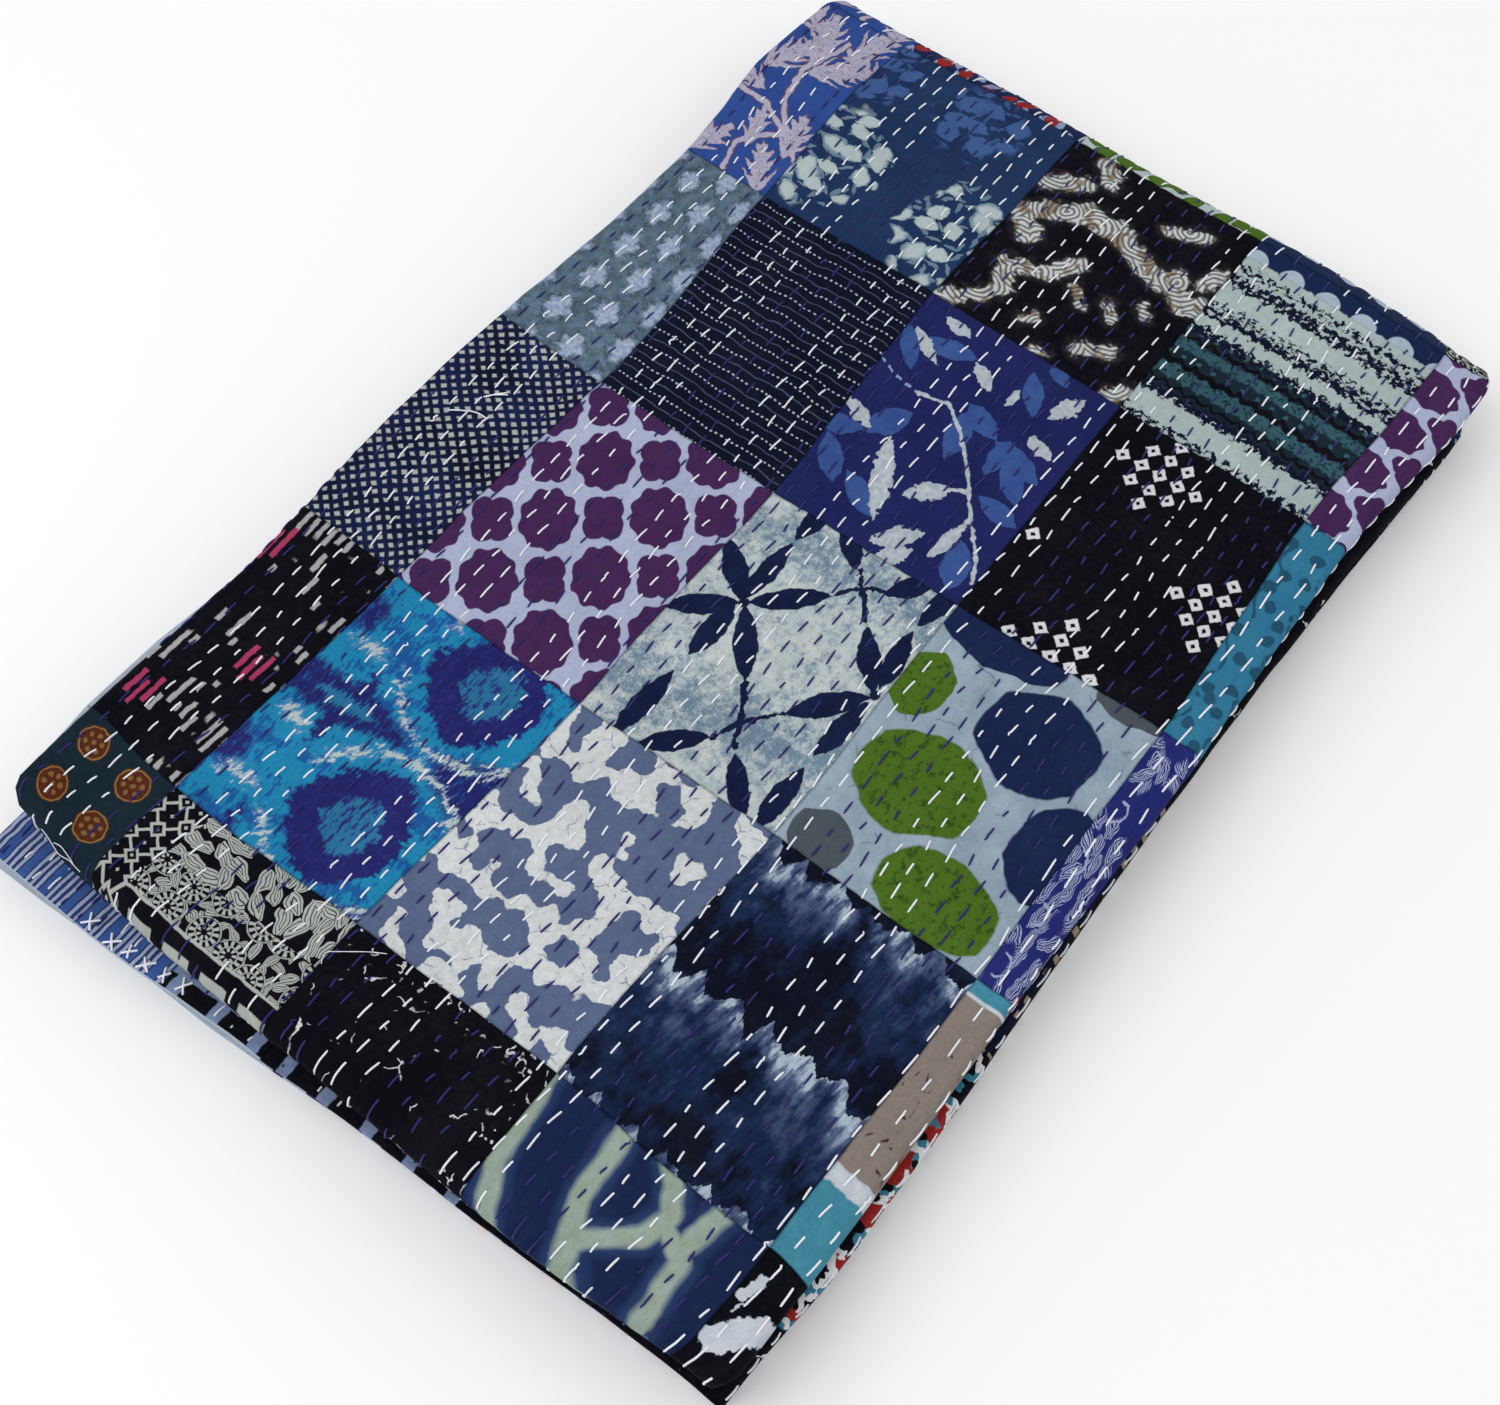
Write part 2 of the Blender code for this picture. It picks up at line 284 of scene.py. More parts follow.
class FoldLine:
    """A line folded in half twice. Its first turn lies on the first_side, +1 or -1."""

    def __init__(self, cloth_length, pitch, thickness, first_side):
        self.pitch = pitch
        self.first_side = first_side
        self.depths = (0.5 * pitch, 0.5 * pitch, 1.5 * pitch * OUTER_SQUASH)
        self.climbs = (0.5 * pitch, 0.5 * pitch, -1.5 * pitch)
        self.turns = [math.pi * math.hypot(depth, climb) / math.sqrt(2.0)
                      for depth, climb in zip(self.depths, self.climbs)]
        self.hem = 0.5 * pitch + 0.5 * thickness
        inset = INNER_INSET * pitch
        self.half = (cloth_length - sum(self.turns) - 2 * self.hem + 2 * inset) / 8
        centres = (self.half - inset, self.half, self.half)
        self.back = (self.half + self.hem,) + centres
        self.on = centres + (self.half + self.hem,)
        self.starts = [0.0]
        for leaf in (THIRD, SECOND, TOP):
            self.starts.append(self.starts[-1] + self.back[leaf] + self.on[leaf] + self.turns[leaf])
        self.length = self.starts[BOTTOM] + self.back[BOTTOM] + self.on[BOTTOM]

    def marks(self):
        """Distances at which the line goes from a flat run into a turn or out of it."""
        marks = [0.0, self.length]
        for leaf in (THIRD, SECOND, TOP):
            marks += [self.starts[leaf] + self.back[leaf] + self.on[leaf], self.starts[leaf + 1]]
        return marks

    def spot(self, distance):
        """The Spot at a distance from the first hem."""
        leaf = max(index for index in range(4) if distance >= self.starts[index] or index == 0)
        heading = self.first_side if leaf in (THIRD, TOP) else -self.first_side
        height = LEAF_HEIGHT[leaf] * self.pitch
        gone = distance - self.starts[leaf]
        past = gone - self.back[leaf] - self.on[leaf]
        if leaf == BOTTOM or past <= 0.0:
            return Spot(heading * (gone - self.back[leaf]), height, 0.0,
                        self.first_side * heading, leaf, 0.0)
        turned = past / self.turns[leaf]
        angle = math.pi * turned
        climb = self.climbs[leaf]
        tangent_along = heading * self.depths[leaf] * math.cos(angle)
        tangent_height = climb * math.sin(angle)
        scale = self.first_side / math.hypot(tangent_along, tangent_height)
        return Spot(heading * (self.on[leaf] + self.depths[leaf] * math.sin(angle)),
                    height + climb * (1.0 - math.cos(angle)),
                    -tangent_height * scale, tangent_along * scale, leaf, turned)


def ease(share):
    """Smooth rise from 0 to 1."""
    share = min(1.0, max(0.0, share))
    return share * share * (3 - 2 * share)


def shift_at(row, share):
    """Outward shift in metres at a share of the way along an edge, eased between its places."""
    share = min(1.0, max(0.0, share))
    for (start, low), (end, high) in zip(row, row[1:]):
        if share <= end:
            return (low + (high - low) * ease((share - start) / (end - start))) * MM
    return row[-1][1] * MM


def between(marks, value):
    """Number of the mark before a value, and the eased share of the way to the next mark."""
    sign = 1 if marks[-1] > marks[0] else -1
    number = 0
    while number < len(marks) - 2 and (value - marks[number + 1]) * sign > 0:
        number += 1
    return number, ease((value - marks[number]) / (marks[number + 1] - marks[number]))


def stray(x, y):
    """How far the seams have strayed at a place on the bundle, in metres along and across."""
    a, share_a = between(STRAY_ALONG, x / MM)
    b, share_b = between(STRAY_ACROSS, y / MM)
    far, near = ([start + (end - start) * share_a for start, end in zip(*STRAY[row][a:a + 2])]
                 for row in (b, b + 1))
    return [(start + (end - start) * share_b) * MM for start, end in zip(far, near)]


def row_bend(x, y):
    """How far a row of stitches bends towards the far edge, in metres."""
    number, share = between(ROW_BEND_ALONG, x / MM)
    far, near = (bends[number] + (bends[number + 1] - bends[number]) * share for bends in ROW_BEND)
    return (far + (near - far) * ease(-y / (120 * MM))) * MM


def pass_shift(table, spot, share):
    """Shift of a long edge, blended from one pass to the next where the cloth turns over."""
    here = shift_at(table[spot.leaf], share)
    if spot.turned == 0.0:
        return here
    return here + (shift_at(table[spot.leaf + 1], share) - here) * ease(spot.turned)


def openness(spot):
    """1 on the top leaf, falling to 0 round the turns on both its sides."""
    if spot.leaf == TOP:
        return 1.0 - spot.turned
    return spot.turned if spot.leaf == SECOND else 0.0


def is_outer(spot):
    """Whether a Spot lies on the top leaf or on a turn next to it."""
    return spot.leaf == TOP or (spot.leaf == SECOND and spot.turned > 0.0)


class FoldedCloth:
    """Where every point of the folded quilt lies, by its distances along and across the cloth."""

    def __init__(self, sizes):
        self.sizes = sizes
        noise.seed_set(DRIFT_SEED)
        layer_pitch = sizes.cloth + sizes.layer_gap
        thickness = 3 * layer_pitch + sizes.cloth
        pass_pitch = thickness + sizes.pass_gap
        self.height = 3 * pass_pitch + thickness
        self.runs = FoldLine(sizes.sheet_length, pass_pitch, thickness, 1)
        self.layers = FoldLine(sizes.sheet_width, layer_pitch, sizes.cloth, -1)
        self.first_column = (self.runs.starts[TOP] + self.runs.half + sizes.column_seam
                             - COLUMNS_BEFORE_TOP * sizes.patch_length)
        self.first_row = (self.layers.starts[TOP] + self.layers.half - sizes.row_seam
                          - ROWS_BEFORE_TOP * sizes.patch_width)
        self.middle_row = self.layers.starts[TOP] + self.layers.half - sizes.middle_row

    def swell(self, x, y):
        """Gentle rise and fall of the whole stack over its area."""
        return SWELL * (math.sin(11.0 * x + 1.3) * math.cos(9.0 * y - 0.5)
                        + 0.4 * math.sin(23.0 * x - 17.0 * y))

    def ripple(self, x, y):
        """Rise and fall of the middle layers."""
        return RIPPLE * (math.sin(17.0 * x + 6.0 * y + 0.8) + 0.5 * math.sin(31.0 * x - 12.0 * y + 2.0))

    def point(self, run, layer, lift):
        """A point of the cloth, lifted from its middle towards its face."""
        y = layer.along + lift * layer.face_along
        rise = layer.height + lift * layer.face_height
        x = run.along + rise * run.face_along
        z = run.height + rise * run.face_height + 0.5 * self.height
        half_length, half_width = self.runs.half, self.layers.half
        length_share = 0.5 + 0.5 * run.along / half_length
        width_share = 0.5 + 0.5 * layer.along / half_width

        tuck = CORNER_TUCK * math.sin(math.pi * run.turned) ** 2
        near = pass_shift(NEAR_EDGE, run, length_share) - tuck
        far = pass_shift(FAR_EDGE, run, length_share) - tuck
        if layer.leaf in FAR_HEM:
            far += shift_at(FAR_HEM[layer.leaf], length_share)
        near *= ease(1 - (y + half_width) / EDGE_REACH)
        far *= ease(1 - (half_width - y) / EDGE_REACH)

        hem_end = shift_at(HEM_END[run.leaf], width_share)
        if run.leaf in (THIRD, BOTTOM):
            hem_end += HEM_SLANT * rise
        fold_end = shift_at(FOLD_END[run.leaf], width_share)
        hem_end *= ease(1 - (x + half_length) / EDGE_REACH)
        fold_end *= ease(1 - (half_length - x) / EDGE_REACH)

        x += fold_end - hem_end
        y += far - near
        z += z * self.swell(x, y) + math.sin(math.pi * z / self.height) * self.ripple(x, y)
        drift = noise.noise_vector(Vector((x * 11.0, y * 13.0, 0.0)))
        wobble = noise.noise_vector(Vector((x * 37.0, y * 41.0, 5.0)))
        strayed = stray(x, y)
        x += strayed[0] + self.sizes.drift * (drift.x + 0.35 * wobble.x)
        y += strayed[1] + self.sizes.drift * (drift.y + 0.35 * wobble.y)
        return Vector((x - CENTRE[0], y - CENTRE[1], z))

    def top_along(self, x):
        """Distance along the cloth of a place on the top face, given in millimetres."""
        return self.runs.starts[TOP] + self.runs.half + x * MM

    def top_across(self, y):
        """Distance across the cloth of a place on the top face, given in millimetres."""
        return self.layers.starts[TOP] + self.layers.half - y * MM

    def past_rows(self, along, across):
        """Distance from the middle row of stitches, across the rows. The rows run nearly
        straight, whatever the seams below them do."""
        run, layer = self.runs.spot(along), self.layers.spot(across)
        past = across - self.middle_row
        if is_outer(run) and is_outer(layer):
            past += row_bend(run.along, layer.along) - stray(run.along, layer.along)[1]
        return past

    def row_at(self, along, across):
        """Number of the nearest stitch row, and how far off it a point is, from 0 to 1 midway."""
        rows = self.past_rows(along, across) / self.sizes.row_pitch
        nearest = round(rows)
        return nearest, 2.0 * abs(rows - nearest)

    def beat(self, along, row):
        """Count of stitches along a row; one stitch starts at each whole number."""
        spacing = self.sizes.stitch_spacing * (WIDER if row > LAST_CLOSE_ROW else 1.0)
        offset = random.Random(row * 7 + 3).random()
        return along / spacing + offset + 0.25 * noise.noise(Vector((along * 9.0, row * 3.7, 1.0)))

    def relief(self, along, across, run, layer):
        """Height in metres that quilting and creases add to the cloth's face."""
        outer = openness(run) * openness(layer)
        if outer <= 0.0:
            if is_outer(layer) and layer.turned > 0.0:
                outer = 0.4 * math.sin(math.pi * layer.turned)
            elif run.leaf == THIRD and is_outer(layer) and along < self.hem_column():
                outer = 0.5 * openness(layer) * (1.0 - max(0.0, along) / self.hem_column())
            else:
                return 0.0
        row, off = self.row_at(along, across)
        furrow = math.exp(-(off / 0.38) ** 2)
        beat = self.beat(along, row) - 0.5 * self.sizes.stitch_length / self.sizes.stitch_spacing
        pull = 0.5 + 0.5 * math.cos(2 * math.pi * beat)
        pucker = noise.noise(Vector((along * 190.0, across * 60.0, 0.0)))
        crease = noise.noise(Vector((along * 60.0, across * 75.0, 7.0)))
        bulge = noise.noise(Vector((along * 17.0, across * 19.0, 3.0)))
        height = (self.sizes.row_dip * (0.45 - furrow * (0.55 + 0.45 * pull))
                  + self.sizes.pucker * (0.55 * pucker * (0.35 + 0.65 * off) + 0.8 * crease + 1.2 * bulge))
        return height * outer

    def hem_column(self):
        """Width of the first column of patches, next to the hem."""
        return self.first_column + self.sizes.patch_length

    def face(self, along, across, lift=0.0):
        """A point on the finished face of the cloth."""
        run, layer = self.runs.spot(along), self.layers.spot(across)
        return self.point(run, layer, 0.5 * self.sizes.cloth + self.relief(along, across, run, layer) + lift)


def cut(line, seams, coarse_step, fine_step, turn_steps, turn_fine_step):
    """Where the cloth is cut into cells along one direction: every fine cut, and the numbers of
    the coarse cuts among them."""
    marks = sorted(set(round(mark, 6) for mark in line.marks() + seams if 0.0 <= mark <= line.length + 1e-6))
    cuts, coarse = [0.0], [0]
    for start, end in zip(marks, marks[1:]):
        middle = line.spot(0.5 * (start + end))
        if middle.turned > 0.0:
            parts = max(1, round(turn_steps[middle.leaf] * (end - start) / line.turns[middle.leaf]))
            fine = turn_fine_step
        else:
            parts = max(1, math.ceil((end - start) / coarse_step - 0.01))
            fine = fine_step
        for part in range(parts):
            low = start + (end - start) * part / parts
            high = start + (end - start) * (part + 1) / parts
            steps = max(1, round((high - low) / fine))
            cuts += [low + (high - low) * step / steps for step in range(1, steps + 1)]
            coarse.append(len(cuts) - 1)
    return cuts, coarse


Cell = namedtuple("Cell", "first_along last_along first_across last_across seen run layer")


class SheetMesh:
    """Cells of the folded cloth made into one closed mesh, fine where it is seen."""

    def __init__(self, cloth, choose_print):
        sizes = cloth.sizes
        self.cloth = cloth
        columns = [cloth.first_column + n * sizes.patch_length for n in range(MOST_SEAMS)]
        rows = [cloth.first_row + n * sizes.patch_width for n in range(MOST_SEAMS)]
        self.along, along_coarse = cut(cloth.runs, columns, coarse_step=45 * MM, fine_step=sizes.patch_length / 48,
                                       turn_steps=LENGTH_TURN_STEPS, turn_fine_step=2.3 * MM)
        self.across, across_coarse = cut(cloth.layers, rows, coarse_step=34 * MM, fine_step=sizes.row_pitch / 6,
                                         turn_steps=WIDTH_TURN_STEPS, turn_fine_step=1.35 * MM)
        self.choose_print = choose_print
        self.points, self.numbers = [], {}
        self.faces, self.face_prints, self.face_origins, self.places = [], [], [], []
        self.runs = [cloth.runs.spot(place) for place in self.along]
        self.layers = [cloth.layers.spot(place) for place in self.across]
        self.cells = [[self.cell(*ends, *other_ends)
                       for other_ends in zip(across_coarse, across_coarse[1:])]
                      for ends in zip(along_coarse, along_coarse[1:])]
        self.add_cells()
        self.add_hems()

    def cell(self, first_along, last_along, first_across, last_across):
        """One coarse cell, and whether it is seen from outside."""
        middle = 0.5 * (self.along[first_along] + self.along[last_along])
        run = self.cloth.runs.spot(middle)
        layer = self.cloth.layers.spot(0.5 * (self.across[first_across] + self.across[last_across]))
        seen = is_outer(layer) and (is_outer(run) or layer.turned > 0.0
                                    or (run.leaf == THIRD and middle < self.cloth.hem_column()))
        return Cell(first_along, last_along, first_across, last_across, seen, run, layer)

    def is_seen(self, a, b):
        return 0 <= a < len(self.cells) and 0 <= b < len(self.cells[0]) and self.cells[a][b].seen

    def corner(self, side, i, j, level=0):
        """Number of the vertex at fine cuts i and j, on the face, the back or between them."""
        key = (side, i, j, level)
        if key not in self.numbers:
            self.numbers[key] = len(self.points)
            self.points.append(self.place(side, i, j, level))
            self.places.append((self.along[i], self.across[j]))
        return self.numbers[key]

    def place(self, side, i, j, level):
        """Position of a vertex."""
        cloth = self.cloth
        half = 0.5 * cloth.sizes.cloth
        if side == BACK:
            return cloth.point(self.runs[i], self.layers[j], -half)
        if side == FACE:
            return cloth.face(self.along[i], self.across[j])
        angle = math.pi * level / HEM_STEPS
        along, across = self.along[i], self.across[j]
        last_i, last_j = len(self.along) - 1, len(self.across) - 1
        if not (i in (0, last_i) and j in (0, last_j)):
            bulge = half * math.sin(angle)
            along += bulge * ((i == last_i) - (i == 0))
            across += bulge * ((j == last_j) - (j == 0))
        return cloth.point(cloth.runs.spot(along), cloth.layers.spot(across), half * math.cos(angle))

    def add_face(self, corners, cell, side):
        """One face, with its print and the corner of its patch."""
        self.faces.append(corners)
        name, origin = self.choose_print(self.cloth, cell, self.along, self.across, side)
        self.face_prints.append(name)
        self.face_origins.append(origin)

    def add_cells(self):
        """Faces of both sides of every cell."""
        for a, column in enumerate(self.cells):
            for b, cell in enumerate(column):
                i0, i1, j0, j1 = cell[:4]
                if cell.seen:
                    for i in range(i0, i1):
                        for j in range(j0, j1):
                            self.add_face([self.corner(FACE, *ij) for ij in
                                           ((i, j), (i + 1, j), (i + 1, j + 1), (i, j + 1))], cell, FACE)
                else:
                    rim = []
                    rim += [(i, j0) for i in (range(i0, i1) if self.is_seen(a, b - 1) else (i0,))]
                    rim += [(i1, j) for j in (range(j0, j1) if self.is_seen(a + 1, b) else (j0,))]
                    rim += [(i, j1) for i in (range(i1, i0, -1) if self.is_seen(a, b + 1) else (i1,))]
                    rim += [(i0, j) for j in (range(j1, j0, -1) if self.is_seen(a - 1, b) else (j1,))]
                    self.add_face([self.corner(FACE, *ij) for ij in rim], cell, FACE)
                self.add_face([self.corner(BACK, *ij) for ij in
                               ((i0, j0), (i0, j1), (i1, j1), (i1, j0))], cell, BACK)

    def add_hem(self, cell, chain):
        """Rounded edge of the cloth along one cell, from its face to its back."""
        rows = [[self.corner(FACE, *ij) for ij in chain]]
        rows += [[self.corner(HEM, *ij, level) for ij in chain] for level in range(1, HEM_STEPS)]
        for upper, lower in zip(rows, rows[1:]):
            for a, b, c, d in zip(upper, upper[1:], lower[1:], lower):
                self.add_face([a, b, c, d], cell, HEM)
        ends = [self.corner(BACK, *chain[-1]), self.corner(BACK, *chain[0])]
        self.add_face(rows[-1] + ends, cell, HEM)

    def add_hems(self):
        """The four hems of the cloth."""
        for column, i in ((self.cells[0], 0), (self.cells[-1], len(self.along) - 1)):
            for cell in column:
                ends = range(cell.first_across, cell.last_across + 1)
                self.add_hem(cell, [(i, j) for j in (ends if cell.seen else (ends[0], ends[-1]))])
        for index, j in ((0, 0), (-1, len(self.across) - 1)):
            for column in self.cells:
                cell = column[index]
                ends = range(cell.first_along, cell.last_along + 1)
                self.add_hem(cell, [(i, j) for i in (ends if cell.seen else (ends[0], ends[-1]))])

    def make(self, name, materials):
        """The mesh, with the patches' own coordinates and the whole cloth's as two UV maps."""
        mesh = bpy.data.meshes.new(name)
        mesh.from_pydata(self.points, [], self.faces)
        names = sorted(set(self.face_prints))
        for print_name in names:
            mesh.materials.append(materials(print_name))
        numbers = {print_name: number for number, print_name in enumerate(names)}
        mesh.polygons.foreach_set("material_index", [numbers[name] for name in self.face_prints])
        patch, whole = [], []
        for corners, (from_along, from_across) in zip(self.faces, self.face_origins):
            for corner in corners:
                along, across = self.places[corner]
                patch += (along - from_along, across - from_across)
                whole += (along, self.cloth.past_rows(along, across))
        mesh.uv_layers.new(name="Patch").data.foreach_set("uv", patch)
        mesh.uv_layers.new(name="Cloth").data.foreach_set("uv", whole)
        mesh.validate()
        body = bmesh.new()
        body.from_mesh(mesh)
        bmesh.ops.recalc_face_normals(body, faces=body.faces)
        body.to_mesh(mesh)
        body.free()
        mesh.shade_smooth()
        mesh.set_sharp_from_angle(angle=math.radians(60))
        return mesh


class Field:
    """A number, place or colour that changes over the cloth: one output of a shader node."""

    def __init__(self, tree, socket):
        self.tree = tree
        self.socket = socket

    def __add__(self, other):
        return reckon("ADD", self, other)

    def __sub__(self, other):
        return reckon("SUBTRACT", self, other)

    def __rsub__(self, other):
        return reckon("SUBTRACT", other, self)

    def __mul__(self, other):
        return reckon("MULTIPLY", self, other)

    def __truediv__(self, other):
        return reckon("DIVIDE", self, other)

    def __abs__(self):
        return reckon("ABSOLUTE", self)

    __radd__ = __add__
    __rmul__ = __mul__


def feed(socket, value):
    """Link a Field to a socket, or set a plain value on it."""
    if isinstance(value, Field):
        value.tree.links.new(value.socket, socket)
    else:
        socket.default_value = value


def tree_of(*values):
    """The node tree of the first Field among some values."""
    return next(value.tree for value in values if isinstance(value, Field))


def joined(kind, operation, values, output=0):
    """One node that makes a Field of several values."""
    tree = tree_of(*values)
    node = tree.nodes.new(kind)
    if operation:
        node.operation = operation
    for socket, value in zip(node.inputs, values):
        feed(socket, value)
    return Field(tree, node.outputs[output])


def reckon(operation, *values):
    """One Math node."""
    return joined("ShaderNodeMath", operation, values)


def vector(operation, *values):
    """One Vector Math node."""
    return joined("ShaderNodeVectorMath", operation, values, "Value" if operation == "LENGTH" else "Vector")


def place(u, v, w=0.0):
    """A point from its parts."""
    return joined("ShaderNodeCombineXYZ", None, (u, v, w))


def scaled(value, factor):
    """A vector or colour times a number."""
    node = value.tree.nodes.new("ShaderNodeVectorMath")
    node.operation = "SCALE"
    feed(node.inputs[0], value)
    feed(node.inputs["Scale"], factor)
    return Field(value.tree, node.outputs[0])


def lesser(a, b):
    return reckon("MINIMUM", a, b)


def greater(a, b):
    return reckon("MAXIMUM", a, b)


def sine(a):
    return reckon("SINE", a)


def whole(a):
    return reckon("FLOOR", a)


def wrap(a, period):
    """Distance from the nearest multiple of a period, from minus to plus half of it."""
    return reckon("WRAP", a, 0.5 * period, -0.5 * period)


def reach(a, b):
    """Length of the pair a, b."""
    return reckon("SQRT", reckon("MULTIPLY_ADD", a, a, b * b))


def above(a, edge, blur):
    """Mask of where a is above an edge, which is blurred over a width."""
    node = a.tree.nodes.new("ShaderNodeMapRange")
    feed(node.inputs["Value"], a)
    node.inputs["From Min"].default_value = edge - 0.5 * blur
    node.inputs["From Max"].default_value = edge + 0.5 * blur
    return Field(a.tree, node.outputs[0])


def below(a, edge, blur):
    """Mask of where a is below an edge, which is blurred over a width."""
    return above(a, edge, -blur)


def parts(point):
    """The parts of a point."""
    node = point.tree.nodes.new("ShaderNodeSeparateXYZ")
    feed(node.inputs[0], point)
    return [Field(point.tree, output) for output in node.outputs]


def mix(mask, under, over):
    """Lay one colour over another where the mask is 1."""
    tree = tree_of(mask, under, over)
    node = tree.nodes.new("ShaderNodeMix")
    node.data_type = "RGBA"
    # These of the node's sockets are the ones for colours
    for number, value in ((0, mask), (6, under), (7, over)):
        feed(node.inputs[number], value)
    return Field(tree, node.outputs[2])


def clouds(point, size, detail=2.0, roughness=0.5, output="Fac"):
    """Smooth noise from 0 to 1 whose lumps have about this size."""
    node = point.tree.nodes.new("ShaderNodeTexNoise")
    feed(node.inputs["Vector"], point)
    node.inputs["Scale"].default_value = 1.0 / size
    node.inputs["Detail"].default_value = detail
    node.inputs["Roughness"].default_value = roughness
    return Field(point.tree, node.outputs[output])


def cells(point, size, irregular=1.0, feature="F1", metric="EUCLIDEAN"):
    """Cells scattered over the cloth, as the outputs of one Voronoi node."""
    node = point.tree.nodes.new("ShaderNodeTexVoronoi")
    node.voronoi_dimensions = "2D"
    node.feature = feature
    if feature != "DISTANCE_TO_EDGE":
        node.distance = metric
    feed(node.inputs["Vector"], point)
    node.inputs["Scale"].default_value = 1.0 / size
    node.inputs["Randomness"].default_value = irregular
    return {output.name: Field(point.tree, output) for output in node.outputs if output.enabled}


def edges(point, size, irregular=1.0):
    """Distance to the nearest border between scattered cells."""
    return cells(point, size, irregular, "DISTANCE_TO_EDGE")["Distance"] * size


def turned(u, v, degrees):
    """The pair u, v measured along axes turned by an angle."""
    c, s = math.cos(math.radians(degrees)), math.sin(math.radians(degrees))
    return u * c + v * s, v * c - u * s


def span(start, end):
    """Middle, angle in degrees and half length of the way from one place to another."""
    du, dv = end[0] - start[0], end[1] - start[1]
    middle = (0.5 * (start[0] + end[0]), 0.5 * (start[1] + end[1]))
    return middle, math.degrees(math.atan2(dv, du)), 0.5 * math.hypot(du, dv)


def laid(point, centre, degrees, length, width):
    """Coordinates along and across something that lies at an angle on the cloth, as shares of its
    half length and half width."""
    node = point.tree.nodes.new("ShaderNodeMapping")
    node.vector_type = "TEXTURE"
    feed(node.inputs["Vector"], point)
    node.inputs["Location"].default_value = (*centre, 0.0)
    node.inputs["Rotation"].default_value = (0.0, 0.0, math.radians(degrees))
    node.inputs["Scale"].default_value = (length, width, 1.0)
    return Field(point.tree, node.outputs[0])


def stroke(point, *line):
    """Distance from a line through places on the cloth."""
    distances = []
    for start, end in zip(line, line[1:]):
        middle, degrees, half = span(start, end)
        local = vector("ABSOLUTE", laid(point, middle, degrees, 1.0, 1.0))
        local = vector("MAXIMUM", vector("SUBTRACT", local, (half, 0.0, 0.0)), (0.0, 0.0, 0.0))
        distances.append(vector("LENGTH", local))
    return reduce(lesser, distances)


def strokes(point, *lines):
    """Distance from the nearest of several lines."""
    return reduce(lesser, [stroke(point, *line) for line in lines])


def leaf(along, across):
    """How far inside a leaf a point is, by its shares of the leaf's half length and half width:
    1 on the midrib, 0 at the rim."""
    return 1.0 - along * along - abs(across)


def leaves(u, v, size, length, width, lean=0.0, spread=math.pi, irregular=0.8):
    """Leaves scattered over the cloth: how far inside one a point is, and a random number for
    each leaf. lean is the angle they share."""
    node = cells(place(u, v), size, irregular)
    centre_u, centre_v, _ = parts(node["Position"])
    chance, other, _ = parts(node["Color"])
    du, dv = u - centre_u, v - centre_v
    angle = (chance - 0.5) * (2.0 * spread) + lean
    c, s = reckon("COSINE", angle), sine(angle)
    return leaf((du * c + dv * s) / length, (dv * c - du * s) / width), other


class Patch:
    """One patch's own coordinates in millimetres, and the dyes that its print may use."""

    def __init__(self, tree, dyes):
        self.dyes = dyes
        self.point = cloth_millimetres(tree, "Patch")
        self.u, self.v, _ = parts(self.point)

    def __getattr__(self, name):
        """A dye, by its name."""
        return (*getattr(self.dyes, name), 1.0)

    def shaken(self, size, amount, detail=1.5):
        """The patch's points, shifted a little from place to place as by hand printing."""
        shift = vector("SUBTRACT", clouds(self.point, size, detail, output="Color"), (0.5, 0.5, 0.5))
        return vector("MULTIPLY_ADD", shift, (2.0 * amount, 2.0 * amount, 0.0), self.point)

    def shaky(self, size, amount, detail=1.5):
        """The coordinates of the shifted points."""
        return parts(self.shaken(size, amount, detail))[:2]


def print_slices(c):
    """Round sliced seed pods with a thin tan rim."""
    u, v = c.shaky(4.0, 0.9)
    du, dv = wrap(u - 91.0, 26.5), wrap(v - 60.0, 26.5)
    r = reach(du, dv)
    seeds = lesser(r, reach(r - 4.1, wrap(reckon("ARCTAN2", dv, du), math.tau / 6.0) * 4.1))
    color = mix(below(r, 8.3, 0.5), c.dark_teal, c.brown)
    color = mix(below(abs(r - 7.4), 0.4, 0.4), color, c.ochre)
    color = mix(below(r, 6.5, 0.6), color, c.rust)
    color = mix(below(seeds, 1.7, 0.4), color, c.brown)
    return mix(below(seeds, 1.25, 0.6) * 0.8, color, c.ochre)


# Groups of pink dashes as (centre along, centre across, half length, half width)
PINK_DASHES = ((22.0, 57.0, 7.0, 7.0), (58.0, 83.5, 7.0, 6.5), (110.0, 51.0, 8.5, 5.0))


def print_dashes(c):
    """Broken white and pink woven dashes on black."""
    u, v = c.shaky(3.0, 0.8, 2.5)
    row = whole(v / 4.5)
    band = below(abs(wrap(v - 2.25, 4.5)), 1.15, 0.5)
    run = clouds(place(u * 0.6 + row * 5.3, row * 37.0), 6.5, 0.0)
    group = sine((u + abs(wrap(v - 8.0, 34.0)) * 0.8) * (math.tau / 32.0))
    patchy = clouds(place(u, v * 0.7, 4.0), 20.0, 0.0)
    dash = above(run + group * 0.05 + (patchy - 0.5) * 0.5, 0.62, 0.02)
    color = mix(dash * band, c.black, c.pale_grey)
    stagger = u + (clouds(place(row * 9.0, 3.0), 2.0, 0.0) - 0.5) * 14.0
    level = row * 4.5 + 2.25
    box = reduce(lesser, [greater(abs(stagger - centre_u) / half_u, abs(level - centre_v) / half_v)
                          for centre_u, centre_v, half_u, half_v in PINK_DASHES])
    return mix(below(box, 1.0, 0.06) * band, color, c.pink)


